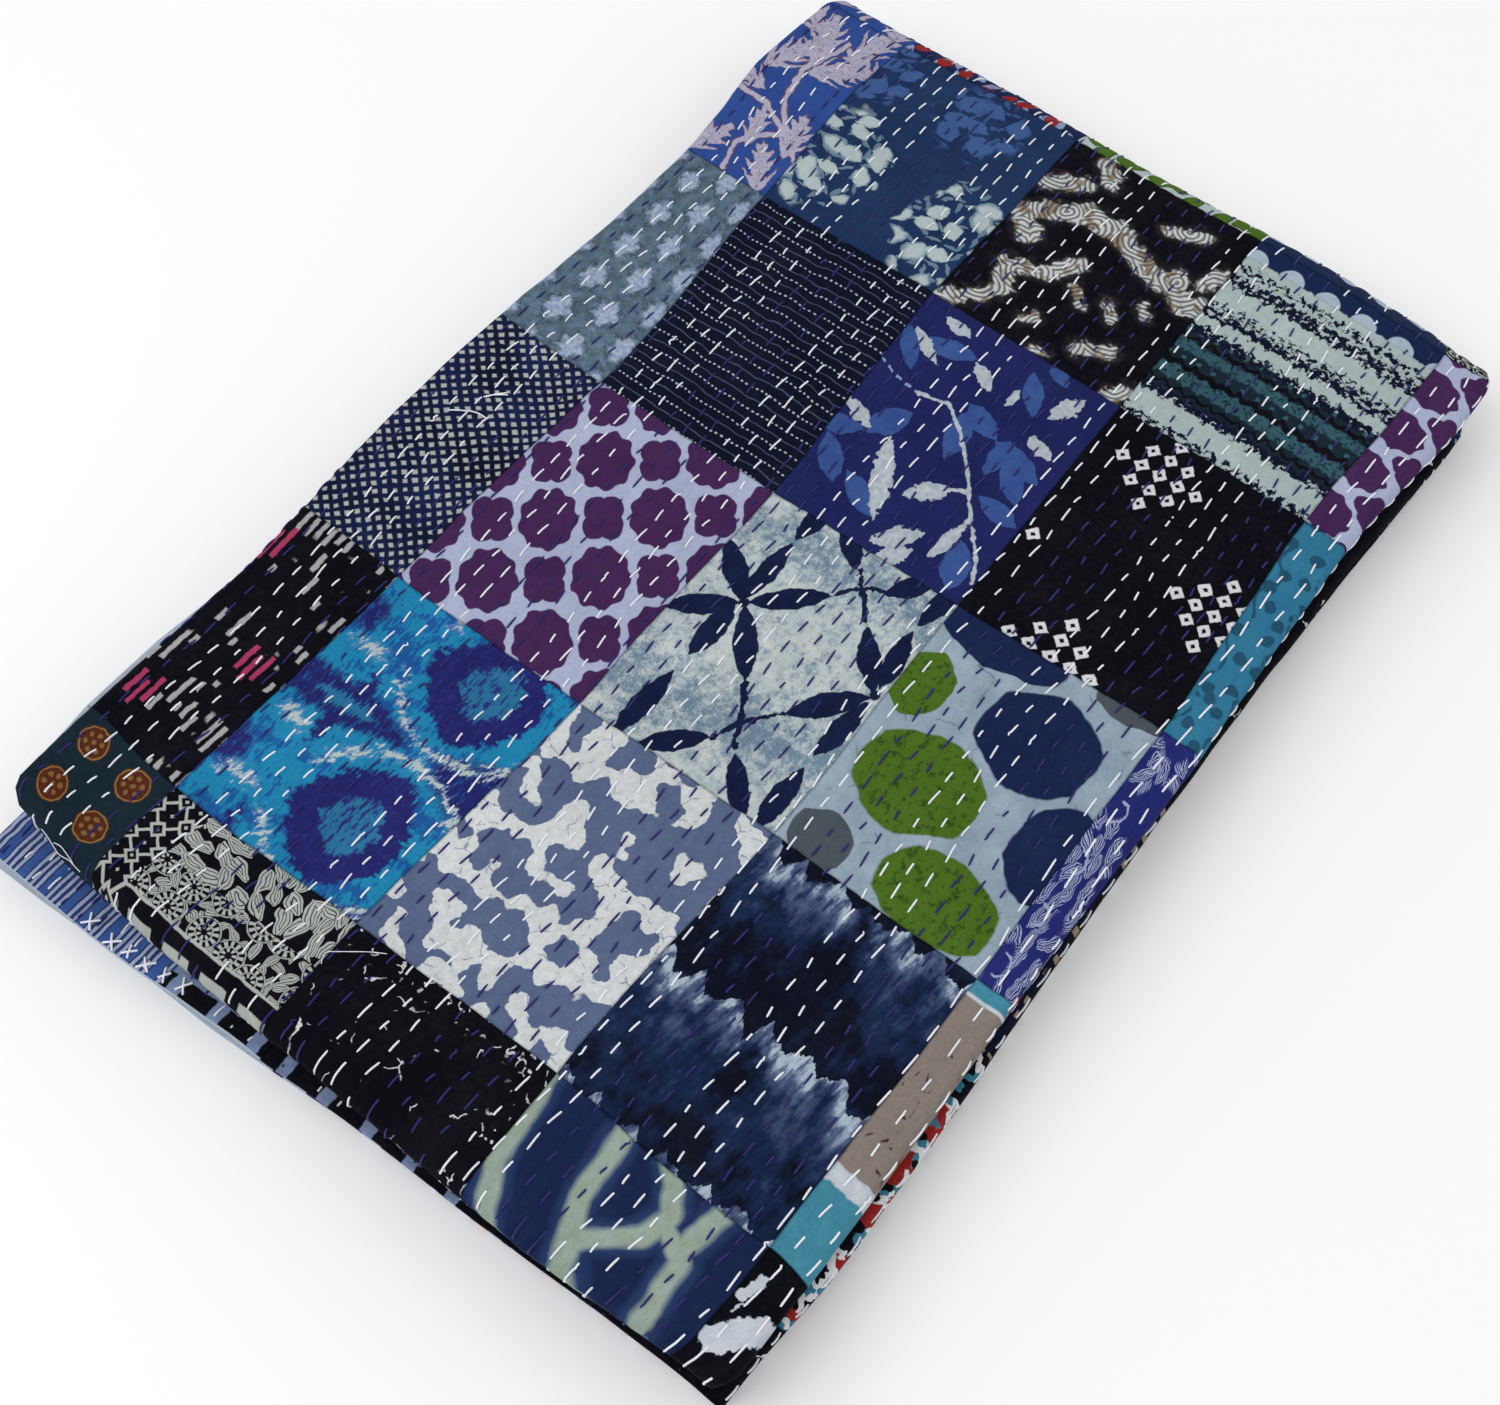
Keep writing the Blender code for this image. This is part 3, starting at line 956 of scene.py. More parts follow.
def print_checker(c):
    """Small cream squares set on their corners."""
    u, v = c.shaky(10.0, 0.6)
    a, b = turned(u, v, 45.0)
    square = greater(abs(wrap(a, 4.25)), abs(wrap(b, 4.25)))
    worn = clouds(c.point, 4.0, 2.0) + clouds(place(u, v * 0.6, 4.0), 16.0) * 0.9
    color = mix(above(clouds(c.point, 26.0), 0.5, 0.3), c.night, c.navy)
    return mix(below(square + worn * 1.1, 1.98, 0.5), color, c.cream)


def print_blur_flowers(c):
    """Blurred ragged pale blue flowers on grey green."""
    u, v, _ = parts(c.shaken(2.4, 2.6, 3.5))
    flowers = []
    for centre_u, centre_v in ((19.5, 61.7), (6.9, 78.9)):
        du, dv = wrap(u - centre_u, 23.5), wrap(v - centre_v, 34.6)
        flowers.append(reach(du * 0.8, dv * 1.1) - sine(reckon("ARCTAN2", dv, du) * 5.0 + du * 0.2) * 0.9)
    r = lesser(*flowers)
    ground = mix(above(clouds(c.point, 6.0, 4.0, 0.65), 0.5, 0.25), c.dark_sage, c.grey_green)
    ground = mix(above(clouds(place(c.v, c.u, 5.0), 5.0, 3.0, 0.6), 0.5, 0.2) * 0.9, ground, c.haze_blue)
    patchy = clouds(place(c.u, c.v, 3.0), 5.0, 4.0, 0.65)
    halo = below(r, 9.5, 5.0) * above(patchy, 0.46, 0.12)
    color = mix(halo * 0.8, ground, c.deep_sage)
    thread = below(abs(wrap(clouds(place(c.u, c.v, 6.0), 5.0, 2.0) * 9.0, 1.0)), 0.07, 0.08) * below(r, 9.0, 3.0)
    color = mix(thread * 0.6, color, c.pale_blue)
    petal = mix(above(clouds(c.point, 2.0, 2.0), 0.5, 0.2), c.pale_blue, c.pale_grey_blue)
    return mix(below(r, 5.2, 2.2) * 0.92, color, petal)


# Fronds as (centre), degrees, half length, half width
FRONDS = (
    ((14.0, 52.0), 30.0, 15.0, 6.0), ((12.0, 88.0), -30.0, 18.0, 6.0), ((62.0, 46.0), -74.0, 15.0, 6.0),
    ((88.0, 57.0), 22.0, 17.0, 8.0), ((106.0, 66.0), -22.0, 22.0, 8.0), ((92.0, 86.0), 52.0, 17.0, 7.0),
    ((104.0, 92.0), -66.0, 14.0, 6.0), ((40.0, 92.0), -8.0, 17.0, 6.0),
    ((118.0, 48.0), -50.0, 14.0, 6.0), ((34.0, 70.0), -10.0, 15.0, 5.0), ((122.0, 90.0), 20.0, 14.0, 7.0),
)


def print_sprays(c):
    """Feathery pale fronds with brown outlines on bright blue."""
    point = c.shaken(5.0, 2.2, 3.0)
    fronds = []
    for centre, degrees, half_length, half_width in FRONDS:
        along, across, _ = parts(laid(point, centre, degrees, half_length, half_width))
        teeth = sine((along * half_length - abs(across) * half_width * 1.4) * 0.75 + half_width)
        fronds.append(leaf(along, across) + teeth * (abs(across) * 0.36 + 0.08))
    inside = reduce(greater, fronds)
    stem = strokes(point, ((24, 104), (38, 86), (50, 66), (52, 40)), ((38, 86), (58, 74), (84, 70), (112, 78)),
                   ((2, 70), (18, 66), (30, 76), (38, 86)))
    color = mix(clouds(c.point, 30.0), c.bright_blue, c.cobalt)
    color = mix(greater(below(stem, 2.2, 0.5), above(inside, -0.09, 0.08)), color, c.rosewood)
    color = mix(greater(below(stem, 1.5, 0.4), above(inside, 0.04, 0.08)), color,
                mix(clouds(c.point, 6.0, 2.0), c.blush, c.lavender))
    vein = below(abs(wrap(inside + clouds(c.point, 3.0) * 0.25, 0.34)), 0.025, 0.04) * above(inside, 0.04, 0.02)
    return mix(vein * 0.7, color, c.rosewood)


def print_lattice_floral(c):
    """A diagonal lattice above a dense field of flowers and leaves."""
    u, v = c.shaky(8.0, 0.8)
    a, b = (abs(wrap(place_on, 12.0)) for place_on in turned(u, v, 45.0))
    ring, cross = greater(a, b), lesser(a, b)
    lattice = greater(below(abs(ring - 2.7), 0.65, 0.3), below(cross, 0.65, 0.3) * above(ring, 2.7, 0.3))
    lattice = greater(lattice, greater(above(cross, 5.3, 0.3), below(ring, 0.7, 0.3)))
    node = cells(place(u, v), 16.5, 0.45)
    centre_u, centre_v, _ = parts(node["Position"])
    du, dv = u - centre_u, v - centre_v
    r, angle = reach(du, dv), reckon("ARCTAN2", dv, du)
    petals = above(sine(angle * 12.0), 0.0, 0.6) * below(abs(r - 5.2), 1.2, 0.3)
    petals = greater(petals, above(sine(angle * 7.0), 0.0, 0.6) * below(abs(r - 2.4), 0.9, 0.3))
    rosette = greater(petals, greater(below(abs(r - 3.8), 0.25, 0.3), below(abs(r - 7.0), 0.25, 0.3)))
    bent_u, bent_v = c.shaky(9.0, 3.0, 1.0)
    inside, _ = leaves(bent_u + 4.0, bent_v + 3.0, 6.5, 5.8, 2.3, spread=3.1)
    floral = mix(below(r, 7.4, 0.2), above(inside, 0.14, 0.1) * above(abs(wrap(inside, 0.42)), 0.055, 0.05), rosette)
    frond, _ = leaves(bent_u, bent_v, 9.0, 9.4, 3.6, lean=-0.7, spread=1.1, irregular=0.7)
    veined = above(frond, 0.1, 0.08) * above(abs(wrap(frond, 0.4)), 0.05, 0.05)
    floral = mix(above(u, 105.0, 0.3), floral, veined)
    blocks = below(u, 78.5, 0.4) * below(abs(wrap(v - 8.0, 21.0)), 7.0, 0.5)
    blocks = greater(blocks, below(abs(u - 83.0), 0.6, 0.3))
    printed = greater(floral * above(u, 83.0, 0.4), blocks)
    return mix(mix(below(v - u * 0.15, 3.0, 0.3), printed, lattice), c.black, c.cream)


def print_ikat(c):
    """Turquoise and indigo medallions between feathered white lines."""
    feather = (clouds(place(c.u * 0.25, c.v * 1.4, 2.0), 1.8, 2.0, 0.6) - 0.5) * 12.0
    ragged = (clouds(place(c.u, c.v * 0.4, 6.0), 3.5, 3.0, 0.6) - 0.5) * 16.0
    u, v = c.u + feather, c.v + ragged
    du, dv = wrap(u - 30.0, 80.0), v - 72.0
    r = reach(du, dv * 0.94)
    down = greater(dv * -0.78, dv * 1.2)
    pointed = reach(du * 0.8, down) * 0.6 + (abs(du) + down) * 0.3
    streaks = clouds(place(c.u * 0.45 + c.v * 0.3, c.v * 1.5, 5.0), 2.6, 3.0, 0.6)
    broad = clouds(place(c.u, c.v * 0.7, 8.0), 12.0, 3.0, 0.6)
    between = abs(wrap(u - 71.0, 80.0))
    color = mix(above(streaks + (broad - 0.5) * 1.3, 0.57, 0.1), c.turquoise, c.blue)
    wedge = below(between + greater(v - 36.0, 0.0) * 0.34, 9.0, 3.0) * below(v, 68.0, 4.0)
    wings = below(abs(v - 28.0) + between * 0.3, 7.0, 2.0)
    corner = below(abs(abs(du) - 40.0) + abs(v - 100.0) * 0.45, 17.0, 4.0) * above(v, 76.0, 5.0)
    side = below(abs(du), 8.0, 4.0) * below(v, 9.0, 5.0)
    dark = reduce(greater, (wedge, wings, side, corner))
    color = mix(dark, color, mix(above(streaks, 0.6, 0.1), c.indigo, c.blue))
    spindle = below(reach(between / 3.2, (v - 27.0) / 15.0), 1.0, 0.3)
    color = mix(spindle, color, c.deep_turquoise)
    for size, edge, blur, tone in ((23.5, 0.6, 0.1, c.indigo), (11.5, 0.56, 0.08, c.deep_turquoise)):
        color = mix(below(pointed, size, 1.5), color, mix(above(streaks, edge, blur), tone, c.ultramarine))
    hatch = clouds(place(c.u * 0.5 + c.v * 0.5, c.v * 1.2 - c.u * 1.2, 9.0), 3.4, 2.5, 0.6)
    ring = below(abs(r - 36.0), 1.4, 5.0) * greater(above(abs(du), 14.0, 9.0), above(v, 60.0, 12.0))
    arm = reduce(lesser, (abs(u - 19.0 - v * 0.12), abs(u - 56.0 + v * 0.12), abs(u - 96.0 - v * 0.1)))
    arm = below(arm, 2.4, 6.0) * below(abs(v - 15.0), 9.0, 8.0)
    line = greater(ring, arm)
    white = line * 0.45 + hatch
    color = mix(above(white, 0.7, 0.2) * above(line, 0.08, 0.12) * 0.6, color, c.pale_blue)
    return mix(above(white, 0.79, 0.1) * above(line, 0.12, 0.1), color, c.pale_aqua)


def quatrefoil_lattice(c, pitch, shift_u, shift_v):
    """Lobed discs and small quatrefoils in a pale lattice."""
    u, v = c.shaky(5.0, 0.9)
    share = pitch / 38.0
    lean = u + v * 0.22
    du, dv = wrap(lean - shift_u, pitch) / share, wrap(v - shift_v, pitch) / share
    disc = reach(du, dv) - sine(reckon("ARCTAN2", dv, du) * 9.0) * 0.75
    eu = abs(wrap(lean - shift_u - 0.5 * pitch, pitch)) / share
    ev = abs(wrap(v - shift_v - 0.5 * pitch, pitch)) / share
    petals = lesser(reach(eu - 5.2, ev), reach(eu, ev - 5.2))
    shape = greater(below(disc, 14.0, 0.5), below(petals, 6.3, 0.5))
    ground = mix(clouds(c.point, 20.0), c.lavender, c.pale_lavender)
    return mix(shape, ground, mix(clouds(c.point, 12.0, 3.0), c.purple, c.plum))


def print_quatrefoils(c):
    """Purple discs and quatrefoils."""
    return quatrefoil_lattice(c, 38.0, 28.5, 31.0)


def print_quatrefoil_edge(c):
    """The same print, cut nearer the middle of its discs."""
    return quatrefoil_lattice(c, 32.0, 12.0, 4.0)


def print_dotted_lines(c):
    """Lines of tiny running dots between thin grey lines."""
    u, v = c.shaky(20.0, 2.4)
    line = whole(u / 9.6 + 0.5)
    dots = below(reach(wrap(u, 9.6) * 1.1, wrap(v + line * 0.7, 2.7) * 0.75), 0.5, 0.25)
    thin = below(abs(wrap(u - 4.8 + (clouds(c.point, 7.0) - 0.5) * 2.0, 9.6)), 0.25, 0.3)
    color = mix(clouds(c.point, 18.0) * 0.7, c.night, c.black)
    color = mix(thin * 0.5, color, c.slate)
    return mix(dots * above(clouds(c.point, 5.0), 0.3, 0.2), color, c.pale_grey_blue)


def print_petal_clusters(c):
    """Clusters of petals, pale on one side and mid blue on the other."""
    u, v = c.shaky(4.0, 1.8, 2.5)
    inside, chance = leaves(u, v, 14.0, 8.6, 7.0, lean=1.4, spread=1.4, irregular=0.8)
    petal = above(inside + (chance - 0.5) * 0.4, 0.26, 0.1)
    sprig, _ = leaves(u + 3.0, v + 4.0, 7.5, 5.4, 1.7, lean=-0.6, spread=2.0)
    petal = greater(petal, above(sprig, 0.3, 0.2) * 0.75)
    soft_u, soft_v = c.shaky(11.0, 9.0, 1.0)
    pale = lesser(reach(soft_u - 42.0, (soft_v - 12.0) * 1.4), reach(soft_u - 34.0, (soft_v - 84.0) * 1.6))
    blue = lesser(reach(soft_u - 108.0, (soft_v - 58.0) * 1.2), reach(soft_u - 112.0, (soft_v - 6.0) * 1.7))
    color = mix(clouds(c.point, 25.0), c.steel, c.deep_steel)
    color = mix(petal * below(blue, 26.0, 4.0) * 0.85, color, c.mid_blue)
    tone = mix(above(inside + clouds(c.point, 3.0, 2.0) * 0.3, 0.55, 0.25), c.grey_aqua, c.pale_aqua)
    return mix(petal * below(pale, 37.0, 3.0), color, tone)


def print_black_crackle(c):
    """Sparse fine white cracks on black."""
    u, v = c.shaky(5.0, 3.4, 3.0)
    crack = below(edges(place(u, v), 17.0), 0.28, 0.3) * above(clouds(c.point, 8.0, 2.0), 0.6, 0.04)
    rim = above(greater(u - 122.0, v - 90.0), 0.0, 6.0)
    fleck = below(edges(place(v, u), 5.0), 0.35, 0.3) * above(clouds(place(c.u, c.v, 6.0), 5.0, 2.0), 0.6, 0.03)
    return mix(greater(crack, fleck * rim), c.black, c.white)


def print_splotches(c):
    """Torn white blotches with fine cracks on slate blue."""
    u, v = c.shaky(5.0, 2.6, 2.0)
    patchy = clouds(place(u, v, 1.0), 13.0, 0.6, 0.4) + (clouds(place(u, v, 7.0), 34.0, 0.0) - 0.5) * 0.35
    crack = below(edges(place(u, v), 12.0), 0.22, 0.25) * above(clouds(c.point, 6.0), 0.54, 0.05)
    ground = mix(clouds(c.point, 4.0, 3.0), c.slate, c.deep_slate)
    white = mix(above(clouds(c.point, 3.0, 3.0), 0.5, 0.4), c.white, c.ecru)
    return mix(above(patchy, 0.515, 0.012) * (1.0 - crack * 0.7), ground, white)


# Petals as (one end), (other end), half width
STAR_PETALS = (
    ((77, 25), (47, 50), 5.6), ((77, 25), (102, 53), 5.6), ((73, 97), (45, 70), 5.6), ((73, 97), (98, 74), 5.6),
    ((77, 24), (56, -2), 5.6), ((77, 24), (99, -2), 5.6), ((76, 22), (43, 22), 5.4), ((36, 22), (-6, 20), 5.4),
    ((77, 23), (113, 22), 5.2), ((114, 22), (140, 24), 5.2), ((70, 97), (36, 92), 5.2), ((32, 92), (-4, 94), 5.2),
    ((76, 97), (108, 92), 5.0), ((110, 92), (140, 97), 5.2), ((-4, 88), (20, 66), 5.0), ((-2, 30), (20, 54), 5.2),
    ((136, 88), (114, 70), 5.2), ((136, 34), (118, 54), 5.2),
)


def print_star_petals(c):
    """Dark leaf-shaped petals that meet in stars on a mottled pale ground."""
    point = c.shaken(5.0, 1.5, 2.5)
    petals = []
    for start, end, half_width in STAR_PETALS:
        middle, degrees, half = span(start, end)
        petals.append(leaf(*parts(laid(point, middle, degrees, half, half_width))[:2]))
    inside = reduce(greater, petals)
    trail = strokes(point, ((47, 50), (30, 60), (22, 64)), ((45, 70), (33, 60), (20, 55)),
                    ((102, 53), (112, 62), (116, 70)), ((98, 74), (110, 63), (119, 55)))
    torn = below(trail + (clouds(c.point, 4.0, 2.0) - 0.5) * 5.0, 1.2, 0.4) * below(trail, 2.6, 0.4)
    hub = lesser(reach(c.u - 77.0, c.v - 24.5), reach(c.u - 73.5, c.v - 97.0))
    torn = greater(torn, below(hub, 2.4, 0.8))
    mottle = clouds(c.point, 9.0, 4.0, 0.65)
    near = strokes(c.point, ((20, -4), (30, 50), (36, 104)), ((112, 0), (112, 104)))
    grain = clouds(place(c.u, c.v, 5.0), 5.0, 6.0, 0.85) + (clouds(place(c.u, c.v, 9.0), 20.0, 2.0) - 0.5) * 0.25
    blue = above(grain + below(near, 8.0, 26.0) * 0.14, 0.56, 0.16)
    color = mix(above(mottle, 0.5, 0.25), c.ecru, c.pale_aqua)
    color = mix(blue, color, mix(clouds(c.point, 2.0, 2.0), c.haze_blue, c.grey_aqua))
    dark = mix(clouds(c.point, 8.0), c.night, c.navy)
    return mix(greater(above(inside, 0.04, 0.08), torn), color, dark)


# Leaves as (centre), degrees, half length, half width
WHITE_LEAVES = (
    ((35, 35), -24.0, 22.0, 5.4), ((40, 57), 50.0, 12.0, 5.0), ((13, 58), 48.0, 13.0, 5.5),
    ((56, 8), -68.0, 10.0, 4.0), ((113, 82), 24.0, 11.0, 4.5), ((24, 78), 10.0, 12.0, 3.4),
    ((104, 44), -52.0, 8.5, 3.6), ((88, 84), -78.0, 9.0, 4.0), ((103, 14), -60.0, 12.0, 3.2),
    ((120, 20), -80.0, 8.0, 3.6), ((102, 60), 8.0, 6.0, 2.4), ((4, 62), 40.0, 10.0, 5.0),
)
BLUE_LEAVES = (
    ((30, 10), -38.0, 13.0, 6.0), ((46, 4), 70.0, 12.0, 5.0), ((60, 22), 30.0, 12.0, 6.5),
    ((22, 32), -62.0, 14.0, 6.0), ((72, 51), -10.0, 14.0, 6.0), ((84, 56), -66.0, 11.0, 5.6),
    ((75, 80), -74.0, 15.0, 6.6), ((66, 84), -40.0, 13.0, 5.4), ((49, 88), -80.0, 11.0, 5.4),
    ((16, 88), -22.0, 13.0, 7.0), ((110, 66), -30.0, 12.0, 5.0), ((98, 8), -36.0, 12.0, 5.0),
    ((108, 24), 80.0, 13.0, 5.4), ((72, 72), 0.0, 11.0, 4.6), ((126, 70), -60.0, 7.0, 4.0),
)


def print_vine(c):
    """White and mid-blue leaves on a wandering white stem."""
    point = c.shaken(5.0, 1.6, 3.0)
    white, blue = (reduce(greater, [leaf(*parts(laid(point, *one))[:2]) for one in leaves_of])
                   for leaves_of in (WHITE_LEAVES, BLUE_LEAVES))
    stem = strokes(point, ((13, 99), (26, 92), (39, 80), (55, 68), (73, 52), (83, 39), (80, 25)),
                   ((49, 71), (46, 62), (40, 54)), ((39, 80), (26, 77), (14, 75)))
    twig = stroke(point, (80, 25), (81, 12), (87, -4))
    broken = above(sine(c.v * 1.1), -0.2, 0.2)
    torn = clouds(c.point, 3.0, 2.0)
    color = mix(clouds(c.point, 22.0), c.navy, c.indigo)
    color = mix(above(blue, 0.02, 0.08), color, mix(clouds(c.point, 9.0, 2.0), c.mid_blue, c.cobalt))
    color = mix(below(twig, 0.6, 0.4) * broken, color, c.pale_blue)
    white = greater(below(stem + (torn - 0.5) * 1.6, 0.85, 0.4), above(white + (torn - 0.5) * 1.2, 0.06, 0.1))
    return mix(white, color, mix(torn, c.white, c.grey_aqua))


# Drifts as a half width and the line that they follow
DRIFTS = (
    (4.5, ((0, 2), (13, 18), (24, 24))), (5.0, ((24, 22), (38, 16), (46, 34), (60, 42))),
    (7.0, ((62, 14), (72, 4), (80, 12), (92, 30), (90, 50))), (6.0, ((90, 50), (80, 66), (76, 78), (84, 82))),
    (6.5, ((80, 80), (72, 92), (76, 104))), (5.0, ((96, 2), (108, 18))), (5.0, ((116, 28), (128, 20))),
    (5.0, ((15, 68), (22, 80))), (2.6, ((38, 56), (46, 48))), (3.0, ((40, 70), (48, 64))),
    (4.0, ((108, 64), (114, 80))), (2.6, ((52, 82), (58, 78))), (3.0, ((14, 40), (18, 44))),
    (4.5, ((88, 94), (98, 98))), (3.0, ((0, 52), (3, 56))), (4.5, ((0, 92), (8, 98))),
)


def print_wood_swirls(c):
    """Pale drifts with a grain of fine rings on black."""
    point = c.shaken(10.0, 3.5, 2.5)
    drift = reduce(lesser, [stroke(point, *line) - half_width for half_width, line in DRIFTS])
    drift = drift + (clouds(c.point, 5.0, 3.0, 0.6) - 0.5) * 10.0
    knot = cells(c.shaken(9.0, 2.0), 24.0, 0.9)
    rings = above(sine(knot["Distance"] * 58.0 + clouds(c.point, 9.0) * 6.0), -0.15, 0.7)
    tone = mix(above(clouds(c.point, 9.0), 0.56, 0.06), c.ecru, c.sand)
    color = mix(below(drift, 1.5, 4.0) * 0.3, c.black, c.brown_grey)
    return mix(below(drift, -0.6, 1.8), color, mix(rings * 0.8 + 0.2, c.brown_grey, tone))


def print_net(c):
    """A broad blurred net of pale green on navy."""
    point = c.shaken(16.0, 3.0)
    line = strokes(point, ((58, 34), (70, 16), (90, 3), (134, -3)), ((66, 68), (76, 48), (100, 37), (134, 33)),
                   ((84, 44), (102, 62), (116, 66), (132, 54)), ((112, 66), (104, 79), (80, 82), (62, 92)),
                   ((106, 76), (134, 82)))
    color = mix(clouds(c.point, 16.0, 3.0), c.deep_steel, c.navy)
    color = mix(below(line, 6.0, 6.0) * 0.4, color, c.mid_blue)
    return mix(below(line, 4.0, 2.4), color, mix(clouds(c.point, 8.0), c.sage_green, c.sage))


def print_tie_dye(c):
    """Feathered columns of tied and dyed cloth."""
    zigzag = abs(wrap(c.v + (clouds(place(c.v * 0.6, 3.0), 9.0) - 0.5) * 26.0, 17.0))
    zigzag = zigzag * (clouds(place(c.v, c.u * 0.2, 7.0), 14.0) * 2.2)
    spikes = (clouds(place(c.u * 0.12, c.v, 1.0), 3.0, 3.0, 0.7) - 0.5) * 8.0
    shift = (c.u + zigzag + spikes - 6.0) / 62.0
    rise = shift - whole(shift)
    broad = clouds(place(c.u, c.v * 1.2, 2.0), 18.0, 3.0, 0.6)
    streak = clouds(place(c.u * 0.3 + c.v * 0.25, c.v * 1.2 - c.u * 0.2, 5.0), 4.0, 4.0, 0.7)
    band = below(abs(c.v - 50.0 + (broad - 0.5) * 12.0), 6.0, 14.0)
    tip = above(rise, 0.82, 0.26) * above(streak, 0.42, 0.3) * above(broad, 0.42, 0.24)
    tone = (rise * 0.35 - above(c.u, 62.0, 4.0) * below(rise, 0.6, 0.4) * 0.16 + (broad - 0.5) * 1.1
            + (streak - 0.5) * 0.7 - band * 0.3 + tip * 0.6)
    color = mix(above(tone, 0.06, 0.3), mix(broad, c.black, c.night), c.deep_steel)
    color = mix(above(tone, 0.42, 0.4), color, c.deep_slate)
    return mix(above(tone, 0.78, 0.3), color, c.pale_grey_blue)


# Pebbles as (centre), half length, half width, dye
PEBBLES = (
    ((10, 16), 14.0, 14.0, "dark_grey"), ((52, 34), 24.0, 28.0, "green"), ((90, 9), 17.0, 13.0, "green"),
    ((16, 69), 20.0, 27.0, "green"), ((94, 63), 25.0, 26.0, "navy"), ((58, 96), 24.0, 18.0, "navy"),
    ((127, 25), 16.0, 30.0, "navy"), ((130, 86), 9.0, 17.0, "dark_grey"),
)


def print_pebbles(c):
    """Big rounded pebbles on pale blue grey."""
    point = c.shaken(14.0, 2.6, 2.5)
    color = mix(clouds(c.point, 14.0, 3.0), c.pale_grey_blue, c.grey_aqua)
    crease = below(edges(c.shaken(6.0, 2.0), 26.0), 0.3, 0.4) * above(clouds(c.point, 7.0), 0.55, 0.05)
    color = mix(crease * 0.5, color, c.teal)
    mottle = clouds(c.point, 4.0, 4.0, 0.75)
    for centre, half_u, half_v, name in PEBBLES:
        along, across, _ = parts(laid(point, centre, 0.0, half_u, half_v))
        inside = greater(abs(across), abs(along) + abs(across) * 0.5) * 0.45 + reach(along, across) * 0.55
        tone = getattr(c, name)
        if name == "green":
            tone = mix(above(mottle, 0.57, 0.08), tone, c.dark_green)
        elif name == "navy":
            tone = mix(above(mottle, 0.55, 0.2), tone, c.deep_steel)
        color = mix(below(inside, 0.98, 0.04), color, tone)
    return color


def print_tied_dots(c):
    """Diamonds of small white tied squares on black."""
    u, v = c.shaky(12.0, 0.9)
    clusters = []
    for centre_u, centre_v in ((2.0, 44.0), (109.0, 34.5), (61.0, 91.0), (49.0, -14.0)):
        du, dv = u - centre_u, v - centre_v
        i, j = whole(du / 9.2 + 0.5), whole(dv / 9.7 + 0.5)
        square = abs(du - i * 9.2) + abs(dv - j * 9.7) + (clouds(c.point, 2.0) - 0.5) * 1.6
        clusters.append(below(square, 3.9, 0.6) * above(square, 1.3, 0.6) * below(abs(i) + abs(j), 2.5, 0.1))
    return mix(reduce(greater, clusters), c.black, c.white)


def print_ragged_stripes(c):
    """Ragged sage and teal stripes with scalloped dark edges."""
    bite = (clouds(place(c.u * 0.6, c.v, 3.0), 2.6, 3.0, 0.65) - 0.5) * 8.0
    scallop = abs(sine(c.v * (math.pi / 8.0))) * 2.6
    u = c.u + bite * 0.7
    pale = mix(clouds(c.point, 10.0, 2.0), c.sage, c.pale_aqua)
    speck = clouds(place(c.u, c.v, 8.0), 2.2, 3.0, 0.7)
    color = mix(above(u, 20.0, 1.0) * below(u, 63.0, 1.0), pale, c.dark_teal)
    teal = mix(above(speck, 0.56, 0.1), c.teal, c.dark_teal)
    for centre, width in ((33.5, 4.2), (51.5, 3.4)):
        color = mix(below(abs(u - centre), width, 1.0), color, teal)
    for centre, width in ((26.5, 1.0), (41.0, 2.0), (58.5, 1.3)):
        color = mix(below(abs(u - centre + scallop) - width, 0.0, 0.6), color, c.black)
        color = mix(below(reach(u - centre - 3.0, wrap(c.v, 8.0)), 1.2, 0.6), color, c.teal)
    for centre, width, share in ((3.0, 2.8, 0.48), (20.5, 2.6, 0.42), (65.0, 3.0, 0.42), (78.0, 3.4, 0.44),
                                 (84.0, 2.0, 0.5), (102.0, 4.4, 0.45), (111.0, 2.4, 0.49)):
        line = below(abs(u - centre + scallop * 0.8 + bite * 0.5), width, 0.6)
        broken = above(clouds(place(c.u, c.v, centre), 3.0, 2.5, 0.6), share, 0.05)
        color = mix(line * broken, color, c.night)
    right = above(c.u + bite * 0.4, 117.0, 0.8)
    moons = below(reach(c.u - 117.0, wrap(c.v - 4.0, 20.0)), 6.6, 0.6)
    color = mix(right, color, mix(above(speck, 0.5, 0.2), c.deep_steel, c.navy))
    return mix(right * moons, color, c.pale_grey_blue)


def print_scallops(c):
    """White half moons on navy blue."""
    u, v = c.shaky(8.0, 1.2)
    moon = reach(wrap(u - 12.0, 24.0), wrap(v - 4.0, 20.0))
    return mix(below(moon, 6.4, 0.6), c.deep_steel, c.pale_grey_blue)


def print_white_blobs(c):
    """Torn white blots on black."""
    point = c.shaken(3.0, 2.8, 3.0)
    blot = reduce(lesser, (stroke(point, (87, 6), (96, 12), (103, 19)) - 5.6,
                           stroke(point, (108, 3), (117, 6)) - 2.4, stroke(point, (100, 4), (106, 6)) - 0.6))
    pale = mix(clouds(c.point, 6.0, 2.0), c.pale_grey_blue, c.white)
    return mix(below(blot, 0.0, 0.6), c.black, pale)


